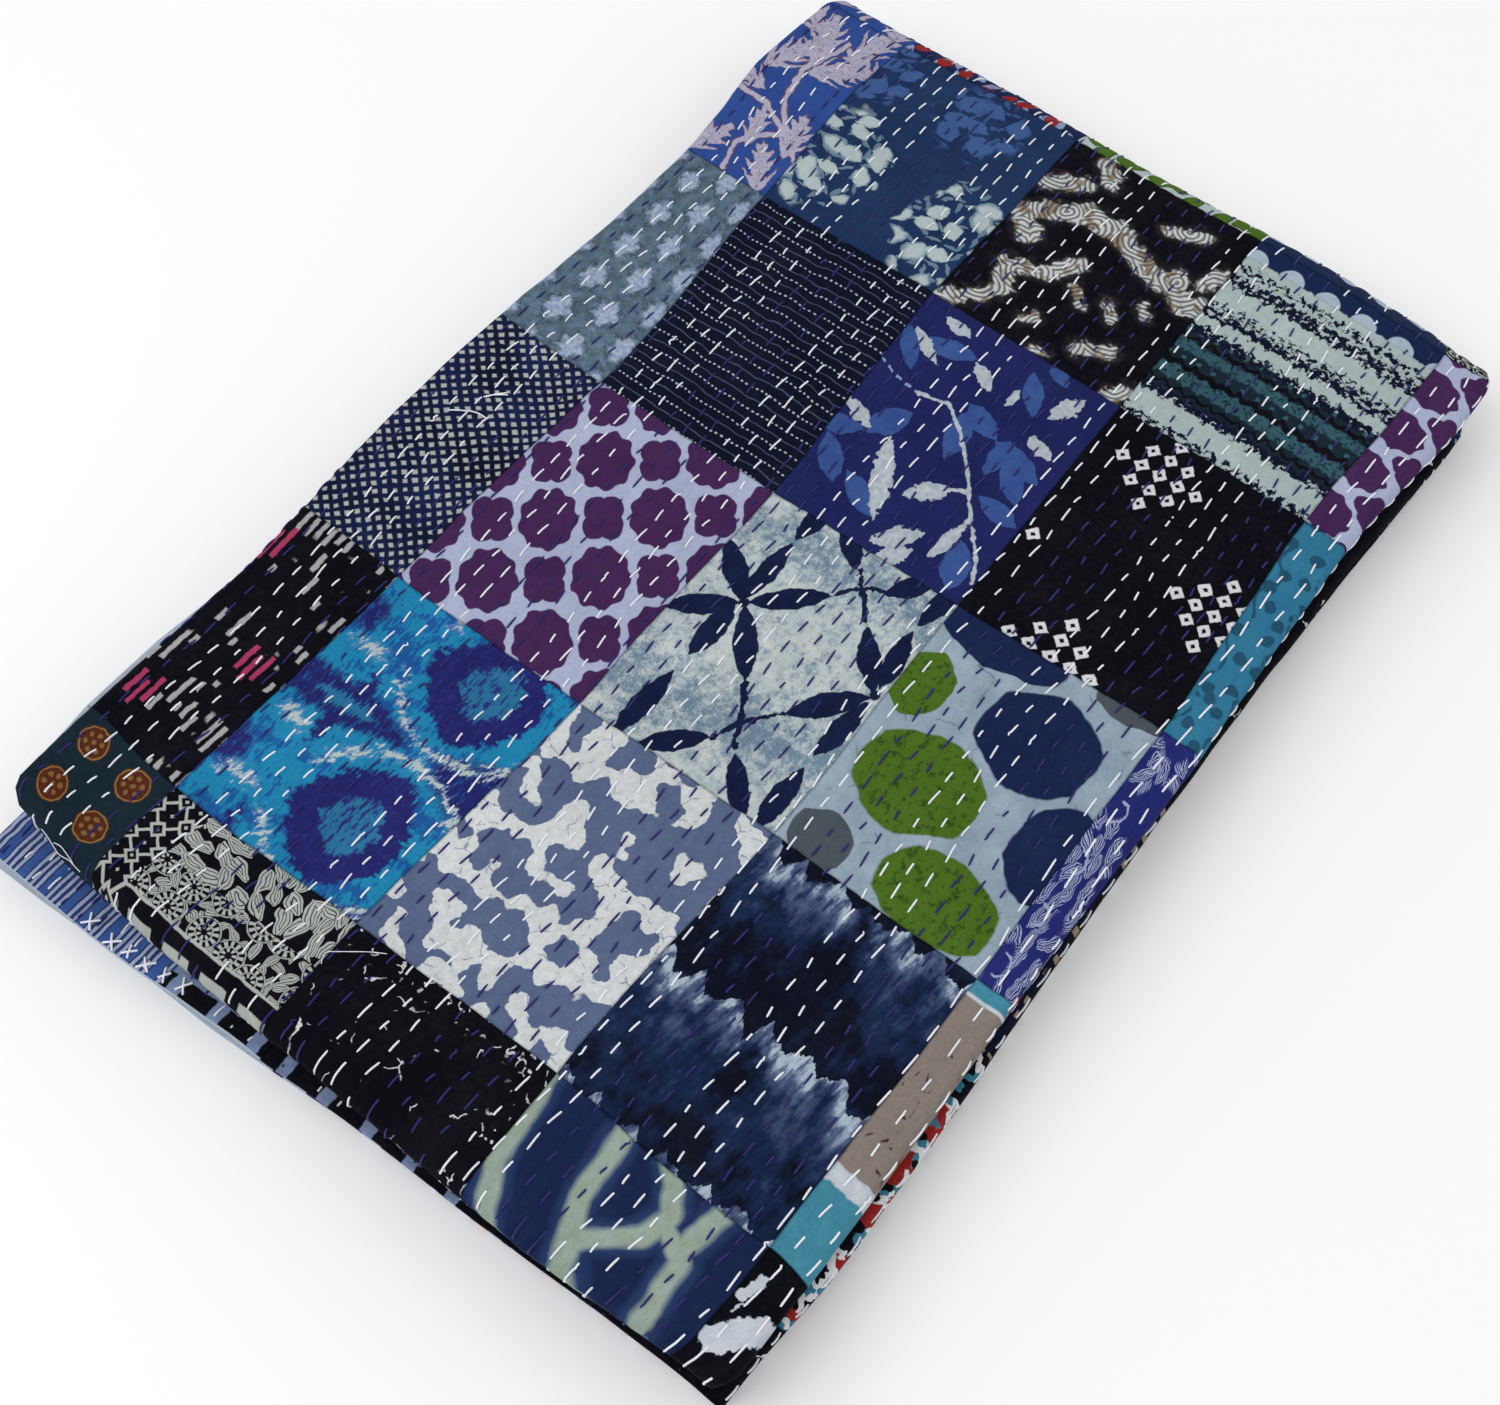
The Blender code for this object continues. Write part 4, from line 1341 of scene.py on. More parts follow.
def print_taupe_strip(c):
    """Turquoise with a ragged pale strip and a cracked taupe panel."""
    u, v = c.shaky(4.0, 1.4, 3.0)
    panel = above(u, 42.0, 0.8) * below(c.u, 121.5, 0.8)
    crack = below(edges(place(u * 0.5, v), 7.0), 0.25, 0.3) * above(clouds(c.point, 7.0), 0.6, 0.05)
    color = mix(clouds(c.point, 9.0, 3.0), c.turquoise_grey, c.pale_turquoise)
    pale = mix(clouds(c.point, 5.0), c.white, c.pale_grey_blue)
    color = mix(above(u, 34.5, 0.8) * below(c.u, 123.0, 0.8), color, pale)
    taupe = mix(clouds(c.point, 3.0, 3.0), c.taupe, c.pale_taupe)
    return mix(panel, color, mix(crack, taupe, c.brown))


def print_horn_flowers(c):
    """Pale outlined flowers and curled horns on ultramarine."""
    u, v = c.shaky(6.0, 2.4, 2.5)
    inside, _ = leaves(u, v * 1.3, 10.0, 9.0, 3.2, spread=0.9)
    veins = sine(inside * 16.0 + u * 0.8)
    crowd = above(clouds(place(c.u * 0.8, c.v, 4.0), 17.0, 0.0), 0.42, 0.05)
    line = above(inside, -0.1, 0.06) * above(veins, 0.0, 0.6)
    rise = wrap(v - 4.0, 22.0)
    curl = below(abs(reach(wrap(u - 10.0, 26.0), rise) - 5.0), 0.55, 0.4) * above(rise, 0.0, 1.0)
    color = mix(clouds(c.point, 20.0), c.ultramarine, c.royal)
    return mix(greater(line * crowd, curl), color, c.lavender)


def print_teal_dots(c):
    """Dark round dots and loose waves on turquoise."""
    u, v = c.shaky(7.0, 2.0)
    node = cells(place(u, v), 14.0, 0.8)
    dot = below(node["Distance"], 0.22, 0.04)
    wave = below(abs(wrap(v - 3.0 + sine(u / 4.0) * 2.6, 19.0)), 0.9, 0.6) * above(clouds(c.point, 9.0), 0.45, 0.05)
    color = mix(clouds(c.point, 8.0, 3.0), c.turquoise_grey, c.deep_turquoise)
    return mix(greater(dot, wave) * 0.85, color, c.dark_turquoise)


def print_scrolls(c):
    """Fine pale scrolls on black."""
    u, v = c.shaky(3.0, 1.6, 2.0)
    node = cells(place(u, v), 7.0, 0.8)
    return mix(below(abs(wrap(node["Distance"] * 7.0, 2.1)), 0.42, 0.3), c.black, c.cream)


def print_red_floral(c):
    """Red flowers and pale leaves on navy."""
    u, v = c.shaky(7.0, 2.5)
    flower, chance = leaves(u, v, 9.0, 5.0, 3.6, spread=3.1)
    pale, _ = leaves(u + 5.0, v + 3.0, 9.0, 5.5, 2.0, spread=3.1)
    color = mix(above(pale, 0.1, 0.1), c.navy, c.pale_blue)
    return mix(above(flower, 0.05, 0.1) * above(chance, 0.3, 0.05), color, c.red)


def print_green_sprays(c):
    """Leaf-green sprays on white."""
    u, v = c.shaky(9.0, 3.0)
    inside, _ = leaves(u, v, 12.0, 9.0, 4.5, lean=1.2, spread=1.2)
    color = mix(above(inside, -0.05, 0.1), c.pale_aqua, c.dark_green)
    return mix(above(inside, 0.15, 0.1), color, c.green)


def print_red_spots(c):
    """Torn turquoise, white and black blocks with red spots."""
    u, v = c.shaky(2.5, 1.8, 3.0)
    node = cells(place(u, v * 0.7), 3.2, 1.0)
    chance, other, third = parts(node["Color"])
    color = mix(above(chance, 0.58, 0.02), c.black, c.white)
    color = mix(above(other, 0.7, 0.02), color, c.turquoise_grey)
    return mix(above(clouds(place(c.u, c.v, 5.0), 9.0, 0.0) + third * 0.3, 0.74, 0.02), color, c.red)


def print_block_bars(c):
    """Rows of beige and black blocks on navy."""
    u, v = c.shaky(7.0, 0.8)
    block = greater(abs(wrap(u, 7.0)) * 1.1, abs(wrap(v, 5.0)))
    color = mix(above(wrap(v, 20.0), 0.0, 0.5), c.night, c.black)
    return mix(below(block, 1.7, 0.3) * above(clouds(c.point, 12.0), 0.52, 0.03), color, c.sand)


def print_hem_stripes(c):
    """Groups of pale stripes edged with navy on blue."""
    v = c.shaky(9.0, 1.0)[1]
    group = wrap(v - 9.0, 13.0)
    stripe = below(abs(wrap(group, 3.0)), 0.75, 0.3) * below(abs(group), 4.2, 0.3)
    edge = below(abs(abs(wrap(group, 3.0)) - 1.05), 0.3, 0.2) * below(abs(group), 4.6, 0.3)
    color = mix(clouds(c.point, 10.0), c.mid_blue, c.bright_blue)
    color = mix(edge, color, c.navy)
    return mix(stripe, color, c.lavender)


def print_hem_squares(c):
    """Black blocks on pale grey blue."""
    u, v = c.shaky(6.0, 1.2, 2.5)
    block = greater(abs(wrap(u - 1.0, 15.0)) * 1.5, abs(wrap(v, 21.0)) * 0.95)
    ground = mix(clouds(c.point, 5.0, 3.0), c.pale_blue, c.slate)
    return mix(below(block, 7.2, 0.5), ground, c.black)


def print_lining(c):
    """Plain pale lining."""
    return mix(clouds(c.point, 14.0, 3.0), c.pale_aqua, c.lavender)


def print_hem_change(c):
    """Stripes that meet squares at a seam."""
    return mix(above(c.v, 47.0, 0.3), print_hem_stripes(c), print_hem_squares(c))


def add_sockets(tree, side, sockets):
    """Inputs or outputs of a node group, each given as (name, kind, default)."""
    for name, kind, default in sockets:
        socket = tree.interface.new_socket(name, in_out=side, socket_type="NodeSocket" + kind)
        if default is not None:
            socket.default_value = default


def bump(height):
    """The normal of a surface raised by a height in metres."""
    node = height.tree.nodes.new("ShaderNodeBump")
    node.inputs["Distance"].default_value = 1.0
    feed(node.inputs["Height"], height)
    return Field(height.tree, node.outputs[0])


def quilted_cotton_group(sizes):
    """Shader node group for worn, quilted cotton: print tone with painted shade and highlight, roughness and relief.
    """
    tree = bpy.data.node_groups.new("Quilted Cotton", "ShaderNodeTree")
    add_sockets(tree, "INPUT", (("Print", "Color", (0.5, 0.5, 0.5, 1.0)), ("Patch Length", "Float", 129.0),
                                ("Patch Width", "Float", 100.5), ("Depth", "Float", 0.62), ("Fade", "Float", 0.006)))
    add_sockets(tree, "OUTPUT", (("Color", "Color", None), ("Roughness", "Float", None), ("Normal", "Vector", None)))
    inputs, outputs = tree.nodes.new("NodeGroupInput"), tree.nodes.new("NodeGroupOutput")
    given = {socket.name: Field(tree, socket) for socket in inputs.outputs if socket.name}

    along, across, _ = parts(cloth_millimetres(tree, "Cloth"))
    patch_u, patch_v, _ = parts(cloth_millimetres(tree, "Patch"))
    point = place(along, across)
    pitch = sizes.row_pitch / MM
    off = abs(wrap(across, pitch)) / (0.5 * pitch)

    threads = clouds(place(along * 0.35, across), 0.55, 1.0) + clouds(place(along, across * 0.35), 0.55, 1.0)
    crumple = clouds(point, 3.2, 3.0, 0.6)
    pulls = clouds(place(along, across * 0.3, 4.0), 2.0, 2.0)
    broad = clouds(place(along, across, 9.0), 26.0, 2.0)
    rim = lesser(lesser(patch_u, given["Patch Length"] - patch_u),
                 lesser(patch_v, given["Patch Width"] - patch_v)) + (crumple - 0.5) * 0.8
    seam = below(rim, 0.45, 0.7)
    ridge = below(abs(rim - 2.0), 0.0, 3.4)

    # worn lightens the print towards pale grey where the crumples and broad blotches rise: partly fading from wear,
    # partly painted highlight on the crumple ridges.
    worn = above(crumple * 0.6 + broad * 0.4, 0.54, 0.2)
    tone = mix(worn * given["Fade"], given["Print"], (0.78, 0.8, 0.84, 1.0))
    # shade varies the print's tone with the weave, the crumples and broad blotches; where it follows the weave and the
    # crumples, which also raise the bump, it is painted shade.
    shade = (threads - 1.0) * 0.22 + (crumple - 0.5) * 0.3 + (broad - 0.5) * 0.3 + 1.0
    # The seam line and the furrow along each row of stitches are darkened as painted shade in these grooves; Depth
    # dims all dyes alike.
    shade = shade * given["Depth"] * (1.0 - seam * 0.45) * (1.0 - below(off, 0.0, 0.5) * 0.08)
    feed(outputs.inputs["Color"], scaled(tone, shade))
    feed(outputs.inputs["Roughness"], lesser(0.8 + (crumple - 0.5) * 0.25, 1.0))

    height = ((threads - 1.0) * 0.06 + (crumple - 0.5) * 0.42 + (pulls - 0.5) * 0.5 * (1.15 - off)
              + ridge * 0.12 - seam * 0.3)
    feed(outputs.inputs["Normal"], bump(height * MM))
    return tree


def cloth_millimetres(tree, name):
    """A UV map of the cloth, in millimetres."""
    node = tree.nodes.new("ShaderNodeUVMap")
    node.uv_map = name
    return scaled(Field(tree, node.outputs[0]), 1.0 / MM)


def new_material(name, roughness, gloss=0.03, sheen=0.0):
    """A new material, its node tree and its shader, with the plain values set."""
    material = bpy.data.materials.new(name)
    material.use_nodes = True
    shader = material.node_tree.nodes["Principled BSDF"]
    shader.inputs["Roughness"].default_value = roughness
    shader.inputs["Specular IOR Level"].default_value = gloss
    shader.inputs["Sheen Weight"].default_value = sheen
    shader.inputs["Sheen Roughness"].default_value = 0.5
    return material, material.node_tree, shader


class PrintedCotton:
    """Materials of the printed cottons, each made once."""

    def __init__(self, sizes, dyes):
        self.sizes, self.dyes = sizes, dyes
        self.group = quilted_cotton_group(sizes)
        self.made = {}

    def __call__(self, name):
        if name not in self.made:
            material, tree, shader = new_material("cotton_" + name, 0.85)
            quilted = tree.nodes.new("ShaderNodeGroup")
            quilted.node_tree = self.group
            quilted.inputs["Patch Length"].default_value = self.sizes.patch_length / MM
            quilted.inputs["Patch Width"].default_value = self.sizes.patch_width / MM
            feed(quilted.inputs["Print"], globals()["print_" + name](Patch(tree, self.dyes)))
            for output, socket in (("Color", "Base Color"), ("Roughness", "Roughness"), ("Normal", "Normal")):
                tree.links.new(quilted.outputs[output], shader.inputs[socket])
            self.made[name] = material
        return self.made[name]


def choose_print(cloth, cell, along, across, side):
    """Print of a cell, and the corner of its patch as distances along and across the cloth."""
    sizes = cloth.sizes
    middle_along = 0.5 * (along[cell.first_along] + along[cell.last_along])
    middle_across = 0.5 * (across[cell.first_across] + across[cell.last_across])
    column = math.floor((middle_along - cloth.first_column) / sizes.patch_length)
    row = math.floor((middle_across - cloth.first_row) / sizes.patch_width)
    origin = (cloth.first_column + column * sizes.patch_length, cloth.first_row + row * sizes.patch_width)
    if side == BACK or cell.first_across == 0 or (side == HEM and row <= TOP_ROW + 1):
        return "lining", origin
    if is_outer(cell.run) and is_outer(cell.layer):
        top_row = min(4, max(0, row - TOP_ROW))
        return TOP_PRINTS[top_row][min(5, max(0, column - TOP_COLUMN))], origin
    if column == 0 and is_outer(cell.layer):
        return ("hem_stripes", "hem_change", "hem_squares", "black_crackle")[min(3, max(0, row - TOP_ROW))], origin
    if row == NEAR_ROW and column in NEAR_PRINTS:
        return NEAR_PRINTS[column], origin
    names = sorted(set(sum(TOP_PRINTS[1:], ())))
    return names[random.Random(column * 31 + row * 7).randrange(len(names))], origin


def add_object(name, mesh):
    """A new object at the origin."""
    made = bpy.data.objects.new(name, mesh)
    bpy.context.scene.collection.objects.link(made)
    return made


class Steps:
    """A chain of Geometry Nodes, built one after the other."""

    def __init__(self, name):
        self.tree = bpy.data.node_groups.new(name, "GeometryNodeTree")
        geometry = ("Geometry", "Geometry", None)
        add_sockets(self.tree, "INPUT", (
            geometry, ("Stitch Share", "Float", 0.6), ("Step", "Float", 1.1 * MM), ("Thread", "Float", 1.0 * MM),
            ("Arch", "Float", 0.8 * MM), ("Sink", "Float", 0.4 * MM), ("Slant", "Float", 1.0 * MM),
            ("Unevenness", "Float", 0.3), ("Seed", "Int", 1), ("Material", "Material", None)))
        add_sockets(self.tree, "OUTPUT", (geometry,))
        self.inputs = self.tree.nodes.new("NodeGroupInput")
        self.geometry = self.given("Geometry")

    def given(self, name):
        """An input of the tree."""
        return Field(self.tree, self.inputs.outputs[name])

    def node(self, kind, settings=None, inputs=None):
        """A node whose inputs are fed by name."""
        node = self.tree.nodes.new(kind)
        for name, value in (settings or {}).items():
            setattr(node, name, value)
        for name, value in (inputs or {}).items():
            feed(node.inputs[name], value)
        return Field(self.tree, node.outputs[0])

    def pass_through(self, kind, first, settings=None, inputs=None):
        """Send the geometry through a node."""
        self.geometry = self.node(kind, settings, {first: self.geometry, **(inputs or {})})

    def attribute(self, name, kind="FLOAT"):
        """A named attribute of the geometry."""
        return self.node("GeometryNodeInputNamedAttribute", {"data_type": kind}, {"Name": name})

    def chance(self, salt):
        """A random number from 0 to 1 for each stitch."""
        node = self.tree.nodes.new("FunctionNodeRandomValue")
        node.data_type = "FLOAT"
        feed(node.inputs["ID"], whole(self.attribute("beat")) + self.attribute("row") * 1000.0)
        feed(node.inputs["Seed"], self.given("Seed") + float(salt))
        return Field(self.tree, node.outputs[1])

    def resample(self):
        """Cut the guide lines into even steps."""
        self.pass_through("GeometryNodeMeshToCurve", "Mesh")
        self.pass_through("GeometryNodeResampleCurve", "Curve", {"mode": "LENGTH"}, {"Length": self.given("Step")})
        self.pass_through("GeometryNodeCurveToMesh", "Curve")

    def tubes(self):
        """Turn the threads into closed tubes with a material, and finish the tree."""
        profile = self.node("GeometryNodeCurvePrimitiveCircle", None,
                            {"Resolution": THREAD_SIDES, "Radius": self.given("Thread") * 0.5})
        self.pass_through("GeometryNodeMeshToCurve", "Mesh")
        self.pass_through("GeometryNodeCurveToMesh", "Curve", None, {"Profile Curve": profile, "Fill Caps": True})
        self.pass_through("GeometryNodeSetShadeSmooth", "Geometry")
        self.pass_through("GeometryNodeRealizeInstances", "Geometry")
        self.pass_through("GeometryNodeSetMaterial", "Geometry", None, {"Material": self.given("Material")})
        feed(self.tree.nodes.new("NodeGroupOutput").inputs[0], self.geometry)
        return self.tree


def running_stitch_tree():
    """Geometry Nodes that cut guide lines into stitches: each shows for a share of its beat,
    arches over the cloth and dips into it at both ends."""
    steps = Steps("Running Stitch")
    steps.resample()
    beat = steps.attribute("beat")
    progress = (beat - whole(beat)) / (steps.given("Stitch Share")
                                       * (1.0 + (steps.chance(1) - 0.5) * 2.0 * steps.given("Unevenness")))
    arch = progress * (1.0 - progress) * 4.0 * steps.given("Arch") - steps.given("Sink")
    slant = (steps.chance(2) - 0.5) * 2.0 * (progress - 0.5) * steps.given("Slant")
    aside = (steps.chance(3) - 0.5) * steps.given("Slant")
    steps.pass_through("GeometryNodeStoreNamedAttribute", "Geometry", {"domain": "POINT", "data_type": "FLOAT"},
                       {"Name": "tone", "Value": steps.chance(4)})
    offset = vector("ADD", scaled(steps.attribute("normal", "FLOAT_VECTOR"), arch),
                    scaled(steps.attribute("side", "FLOAT_VECTOR"), slant + aside))
    steps.pass_through("GeometryNodeSetPosition", "Geometry", None, {"Offset": offset})
    steps.pass_through("GeometryNodeDeleteGeometry", "Geometry", {"domain": "POINT"},
                       {"Selection": reckon("GREATER_THAN", progress, 1.0)})
    return steps.tubes()


def thread_tree():
    """Geometry Nodes that turn guide lines into loose threads."""
    steps = Steps("Loose Thread")
    steps.resample()
    return steps.tubes()


def guide_mesh(name, lines):
    """Guide lines as loose edges. Each line is a list of (point, normal, side, beat, row)."""
    points, normals, sides, beats, rows, links = [], [], [], [], [], []
    for line in lines:
        links += [(len(points) + n, len(points) + n + 1) for n in range(len(line) - 1)]
        for point, normal, side, beat, row in line:
            points.append(point)
            normals.extend(normal)
            sides.extend(side)
            beats.append(beat)
            rows.append(row)
    mesh = bpy.data.meshes.new(name)
    mesh.from_pydata(points, links, [])
    for column, kind, key, values in (("normal", "FLOAT_VECTOR", "vector", normals), ("beat", "FLOAT", "value", beats),
                                      ("side", "FLOAT_VECTOR", "vector", sides), ("row", "FLOAT", "value", rows)):
        mesh.attributes.new(column, kind, "POINT").data.foreach_set(key, values)
    return mesh


def sew(name, tree, lines, material, values):
    """Run guide lines through a Geometry Nodes tree and keep the result as a plain mesh."""
    guide = add_object(name + "_guide", guide_mesh(name + "_guide", lines))
    modifier = guide.modifiers.new("Stitches", "NODES")
    modifier.node_group = tree
    values = dict(values, Material=material)
    for socket in tree.interface.items_tree:
        if socket.in_out == "INPUT" and socket.name in values:
            modifier[socket.identifier] = values[socket.name]
    evaluated = guide.evaluated_get(bpy.context.evaluated_depsgraph_get())
    mesh = bpy.data.meshes.new_from_object(evaluated)
    mesh.name = name
    bpy.data.objects.remove(guide, do_unlink=True)
    if not mesh.polygons:
        raise RuntimeError(name + " came out empty")
    return add_object(name, mesh)


def cloth_frame(cloth, along, across, lift=0.0):
    """A point on the face, the way out of the cloth, and the way across it."""
    step = 0.4 * MM
    here = cloth.face(along, across, lift)
    ahead = cloth.face(along + step, across, lift) - cloth.face(along - step, across, lift)
    aside = cloth.face(along, across + step, lift) - cloth.face(along, across - step, lift)
    normal = ahead.cross(aside).normalized()
    # The face looks the way in which lift moves a point
    if normal.dot(cloth.face(along, across, MM) - cloth.face(along, across)) < 0.0:
        normal.negate()
    return here, normal, aside.normalized()


def is_white(row):
    """Rows of white and of violet stitches take turns, three by three, with one violet row more
    beside the middle."""
    return (row + 1 - (row > 3)) % 6 < 3


def stitch_rows(cloth):
    """Guide lines of all rows that show, as (row, line)."""
    sizes = cloth.sizes
    layers, runs = cloth.layers, cloth.runs
    first = layers.starts[TOP] - layers.turns[SECOND]
    last = layers.starts[BOTTOM]
    # On the top face the rows begin and end part way round its two turns
    top_span = (runs.starts[TOP] - runs.turns[SECOND] * 0.95, runs.starts[BOTTOM] - runs.turns[TOP] * 0.1)
    rows = []
    row = math.ceil((first - cloth.middle_row) / sizes.row_pitch)
    while cloth.middle_row + row * sizes.row_pitch < last:
        across = cloth.middle_row + row * sizes.row_pitch
        spans = [top_span, (2 * MM, cloth.hem_column() * 0.8)]
        if layers.spot(across).turned > 0.15:
            # The lower passes are sewn only where their edge can be seen
            spans = [(3 * MM, runs.back[THIRD]),
                     (runs.starts[SECOND] + runs.back[SECOND], runs.starts[BOTTOM]),
                     (runs.starts[BOTTOM] + runs.back[BOTTOM], runs.length - 3 * MM)]
        for start, end in spans:
            count = int((end - start) / GUIDE_STEP)
            line = []
            for number in range(count + 1):
                along = start + (end - start) * number / count
                bent = across
                for _ in range(2):
                    bent += row * sizes.row_pitch - cloth.past_rows(along, bent)
                line.append((*cloth_frame(cloth, along, bent), cloth.beat(along, row), row))
            rows.append((row, line))
        row += 1
    return rows


def thread_lines(cloth, lines):
    """Guide lines through (place along, place across, height) on the top face, in millimetres."""
    return [[(*cloth_frame(cloth, along, cloth.top_across(y), lift * MM), 0.0, 0.0) for along, y, lift in line]
            for line in lines]


def loose_lines(cloth, places):
    """Guide lines of loose pieces of thread, softly bent."""
    lines = []
    for ends in places:
        line = []
        for one, other in zip(ends, ends[1:]):
            line += [[here + (there - here) * share for here, there in zip(one, other)]
                     for share in (0.0, 0.25, 0.5, 0.75)]
        line.append(ends[-1])
        for _ in range(3):
            line[1:-1] = [[sum(three) / 3.0 for three in zip(*line[n - 1:n + 2])] for n in range(1, len(line) - 1)]
        lines.append([(cloth.top_along(x), y, lift) for x, y, lift in line])
    return thread_lines(cloth, lines)


def crossed_lines(cloth):
    """Guide lines of the crossed stitches that hold the hem beside the top face."""
    chance = random.Random(5)
    lines = []
    y = CROSSED_FROM
    while y > CROSSED_TO:
        middle = chance.uniform(3.0, 5.0)
        for turn in (-1.0, 1.0):
            size, lean = chance.uniform(2.0, 3.2), chance.uniform(1.4, 3.0) * turn
            lines.append([((middle + size * side) * MM, y + lean * side, 0.9 - 0.7 * abs(side))
                          for side in (-1.0, 0.0, 1.0)])
        y -= chance.uniform(8.0, 14.0)
    return thread_lines(cloth, lines)


def paint(red, green, blue):
    """A linear colour from screen values of 0 to 255."""
    return tuple(value / 255 / 12.92 if value < 11 else ((value / 255 + 0.055) / 1.055) ** 2.4
                 for value in (red, green, blue))


def dye(name, *screen):
    """A colour setting from screen values."""
    return FloatVectorProperty(name=name, description="Dye of the printed cottons: " + name.lower(),
                               subtype="COLOR", size=3, min=0.0, max=1.0, default=paint(*screen))


def length(name, description, default):
    """A setting for a size in metres."""
    return FloatProperty(name=name, description=description, default=default, min=0.0,
                         subtype="DISTANCE", unit="LENGTH", precision=5)


def position(name, description, default):
    """A setting for a place on the bundle, in metres from its middle."""
    return FloatProperty(name=name, description=description, default=default, unit="LENGTH", precision=5)


class QuiltSizes(bpy.types.PropertyGroup):
    """Sizes of the folded cloth and of its stitches."""
    sheet_length: length("Sheet Length", "Length of the quilt laid flat", 2330 * MM)
    sheet_width: length("Sheet Width", "Width of the quilt laid flat", 1505 * MM)
    cloth: length("Cloth", "Thickness of the quilted cloth", 2.1 * MM)
    layer_gap: length("Layer Gap", "Space between two layers of one pass", 0.5 * MM)
    pass_gap: length("Pass Gap", "Space between two passes", 0.8 * MM)
    patch_length: length("Patch Length", "Size of a patch along the bundle", 129 * MM)
    patch_width: length("Patch Width", "Size of a patch across the bundle", 100.5 * MM)
    column_seam: position("Column Seam", "Place along the bundle of the first seam of the top face", -233.5 * MM)
    row_seam: position("Row Seam", "Place across the bundle of the first seam of the top face", 133.2 * MM)
    row_pitch: length("Row Pitch", "Distance between two rows of stitches", 9.2 * MM)
    middle_row: position("Middle Row", "Place across the bundle of the middle row of stitches", -4.4 * MM)
    row_dip: length("Row Dip", "How deep the rows of stitches sink in", 0.6 * MM)
    pucker: length("Pucker", "Height of the creases between rows", 0.55 * MM)
    drift: length("Drift", "How far rows and seams wander from straight lines", 1.6 * MM)
    stitch_spacing: length("Stitch Spacing", "Distance from one stitch to the next", 12 * MM)
    stitch_length: length("Stitch Length", "Length of a stitch", 6.9 * MM)
    thread: length("Thread", "Thickness of the stitching thread", 0.92 * MM)


class QuiltDyes(bpy.types.PropertyGroup):
    """Dyes of the printed cottons and threads."""
    black: dye("Black", 14, 14, 24)
    night: dye("Night Blue", 18, 26, 52)
    navy: dye("Navy", 30, 42, 88)
    royal: dye("Royal Navy", 32, 44, 112)
    indigo: dye("Indigo", 42, 44, 118)
    ultramarine: dye("Ultramarine", 52, 54, 140)
    blue: dye("Blue", 35, 100, 175)
    cobalt: dye("Cobalt", 50, 78, 158)
    bright_blue: dye("Bright Blue", 58, 96, 176)
    mid_blue: dye("Mid Blue", 78, 112, 175)
    steel: dye("Steel Blue", 42, 72, 118)
    deep_steel: dye("Deep Steel", 30, 48, 88)
    slate: dye("Slate", 112, 128, 165)
    haze_blue: dye("Haze Blue", 112, 138, 170)
    deep_slate: dye("Deep Slate", 94, 110, 148)
    turquoise: dye("Turquoise", 38, 150, 200)
    turquoise_grey: dye("Grey Turquoise", 66, 142, 170)
    pale_turquoise: dye("Pale Turquoise", 90, 170, 195)
    teal: dye("Teal", 62, 104, 118)
    dark_teal: dye("Dark Teal", 28, 46, 58)
    deep_turquoise: dye("Deep Turquoise", 50, 130, 178)
    dark_turquoise: dye("Dark Turquoise", 36, 84, 112)
    sage: dye("Sage", 184, 204, 200)
    sage_green: dye("Green Sage", 160, 176, 148)
    dark_sage: dye("Dark Sage", 92, 116, 128)
    deep_sage: dye("Deep Sage", 66, 84, 94)
    grey_green: dye("Grey Green", 118, 142, 152)
    grey_aqua: dye("Grey Aqua", 138, 165, 182)
    pale_aqua: dye("Pale Aqua", 204, 220, 222)
    pale_blue: dye("Pale Blue", 158, 180, 220)
    pale_grey_blue: dye("Pale Grey Blue", 196, 212, 230)
    lavender: dye("Lavender", 184, 194, 230)
    pale_lavender: dye("Pale Lavender", 204, 212, 240)
    white: dye("White", 248, 250, 255)
    ecru: dye("Ecru", 228, 234, 232)
    cream: dye("Cream", 200, 205, 200)
    pale_grey: dye("Pale Grey", 190, 190, 192)
    dark_grey: dye("Dark Grey", 88, 98, 106)
    brown_grey: dye("Brown Grey", 84, 78, 80)
    sand: dye("Sand", 170, 152, 130)
    taupe: dye("Taupe", 146, 134, 126)
    pale_taupe: dye("Pale Taupe", 162, 150, 142)
    brown: dye("Brown", 70, 44, 34)
    rosewood: dye("Rosewood", 120, 84, 104)
    rust: dye("Rust", 104, 46, 28)
    ochre: dye("Ochre", 162, 118, 66)
    red: dye("Red", 168, 46, 44)
    pink: dye("Pink", 190, 66, 112)
    blush: dye("Blush", 216, 202, 218)
    purple: dye("Purple", 86, 48, 104)
    plum: dye("Plum", 72, 42, 88)
    green: dye("Green", 88, 126, 38)
    dark_green: dye("Dark Green", 58, 88, 34)
    white_thread: dye("White Thread", 236, 239, 246)
    violet_thread: dye("Violet Thread", 40, 36, 106)


class StageSettings(bpy.types.PropertyGroup):
    """Floor and lights around the quilt."""
    floor_color: FloatVectorProperty(name="Floor Color", description="Colour of the floor", subtype="COLOR",
                                     size=3, min=0.0, max=1.0, default=(0.9, 0.9, 0.905))
    key_power: FloatProperty(name="Key Light", description="Power of the main light",
                             default=13.0, min=0.0, unit="POWER")
    fill_power: FloatProperty(name="Fill Light", description="Power of the second light",
                              default=6.0, min=0.0, unit="POWER")
    surround: FloatProperty(name="Surround", description="Brightness of the white surround",
                            default=0.82, min=0.0, subtype="FACTOR")
    lens: FloatProperty(name="Lens", description="Focal length of the camera",
                        default=45.502, min=1.0, unit="CAMERA")


class QuiltSettings(bpy.types.PropertyGroup):
    """All settings of the folded quilt."""
    sizes: PointerProperty(type=QuiltSizes)
    dyes: PointerProperty(type=QuiltDyes)
    stage: PointerProperty(type=StageSettings)


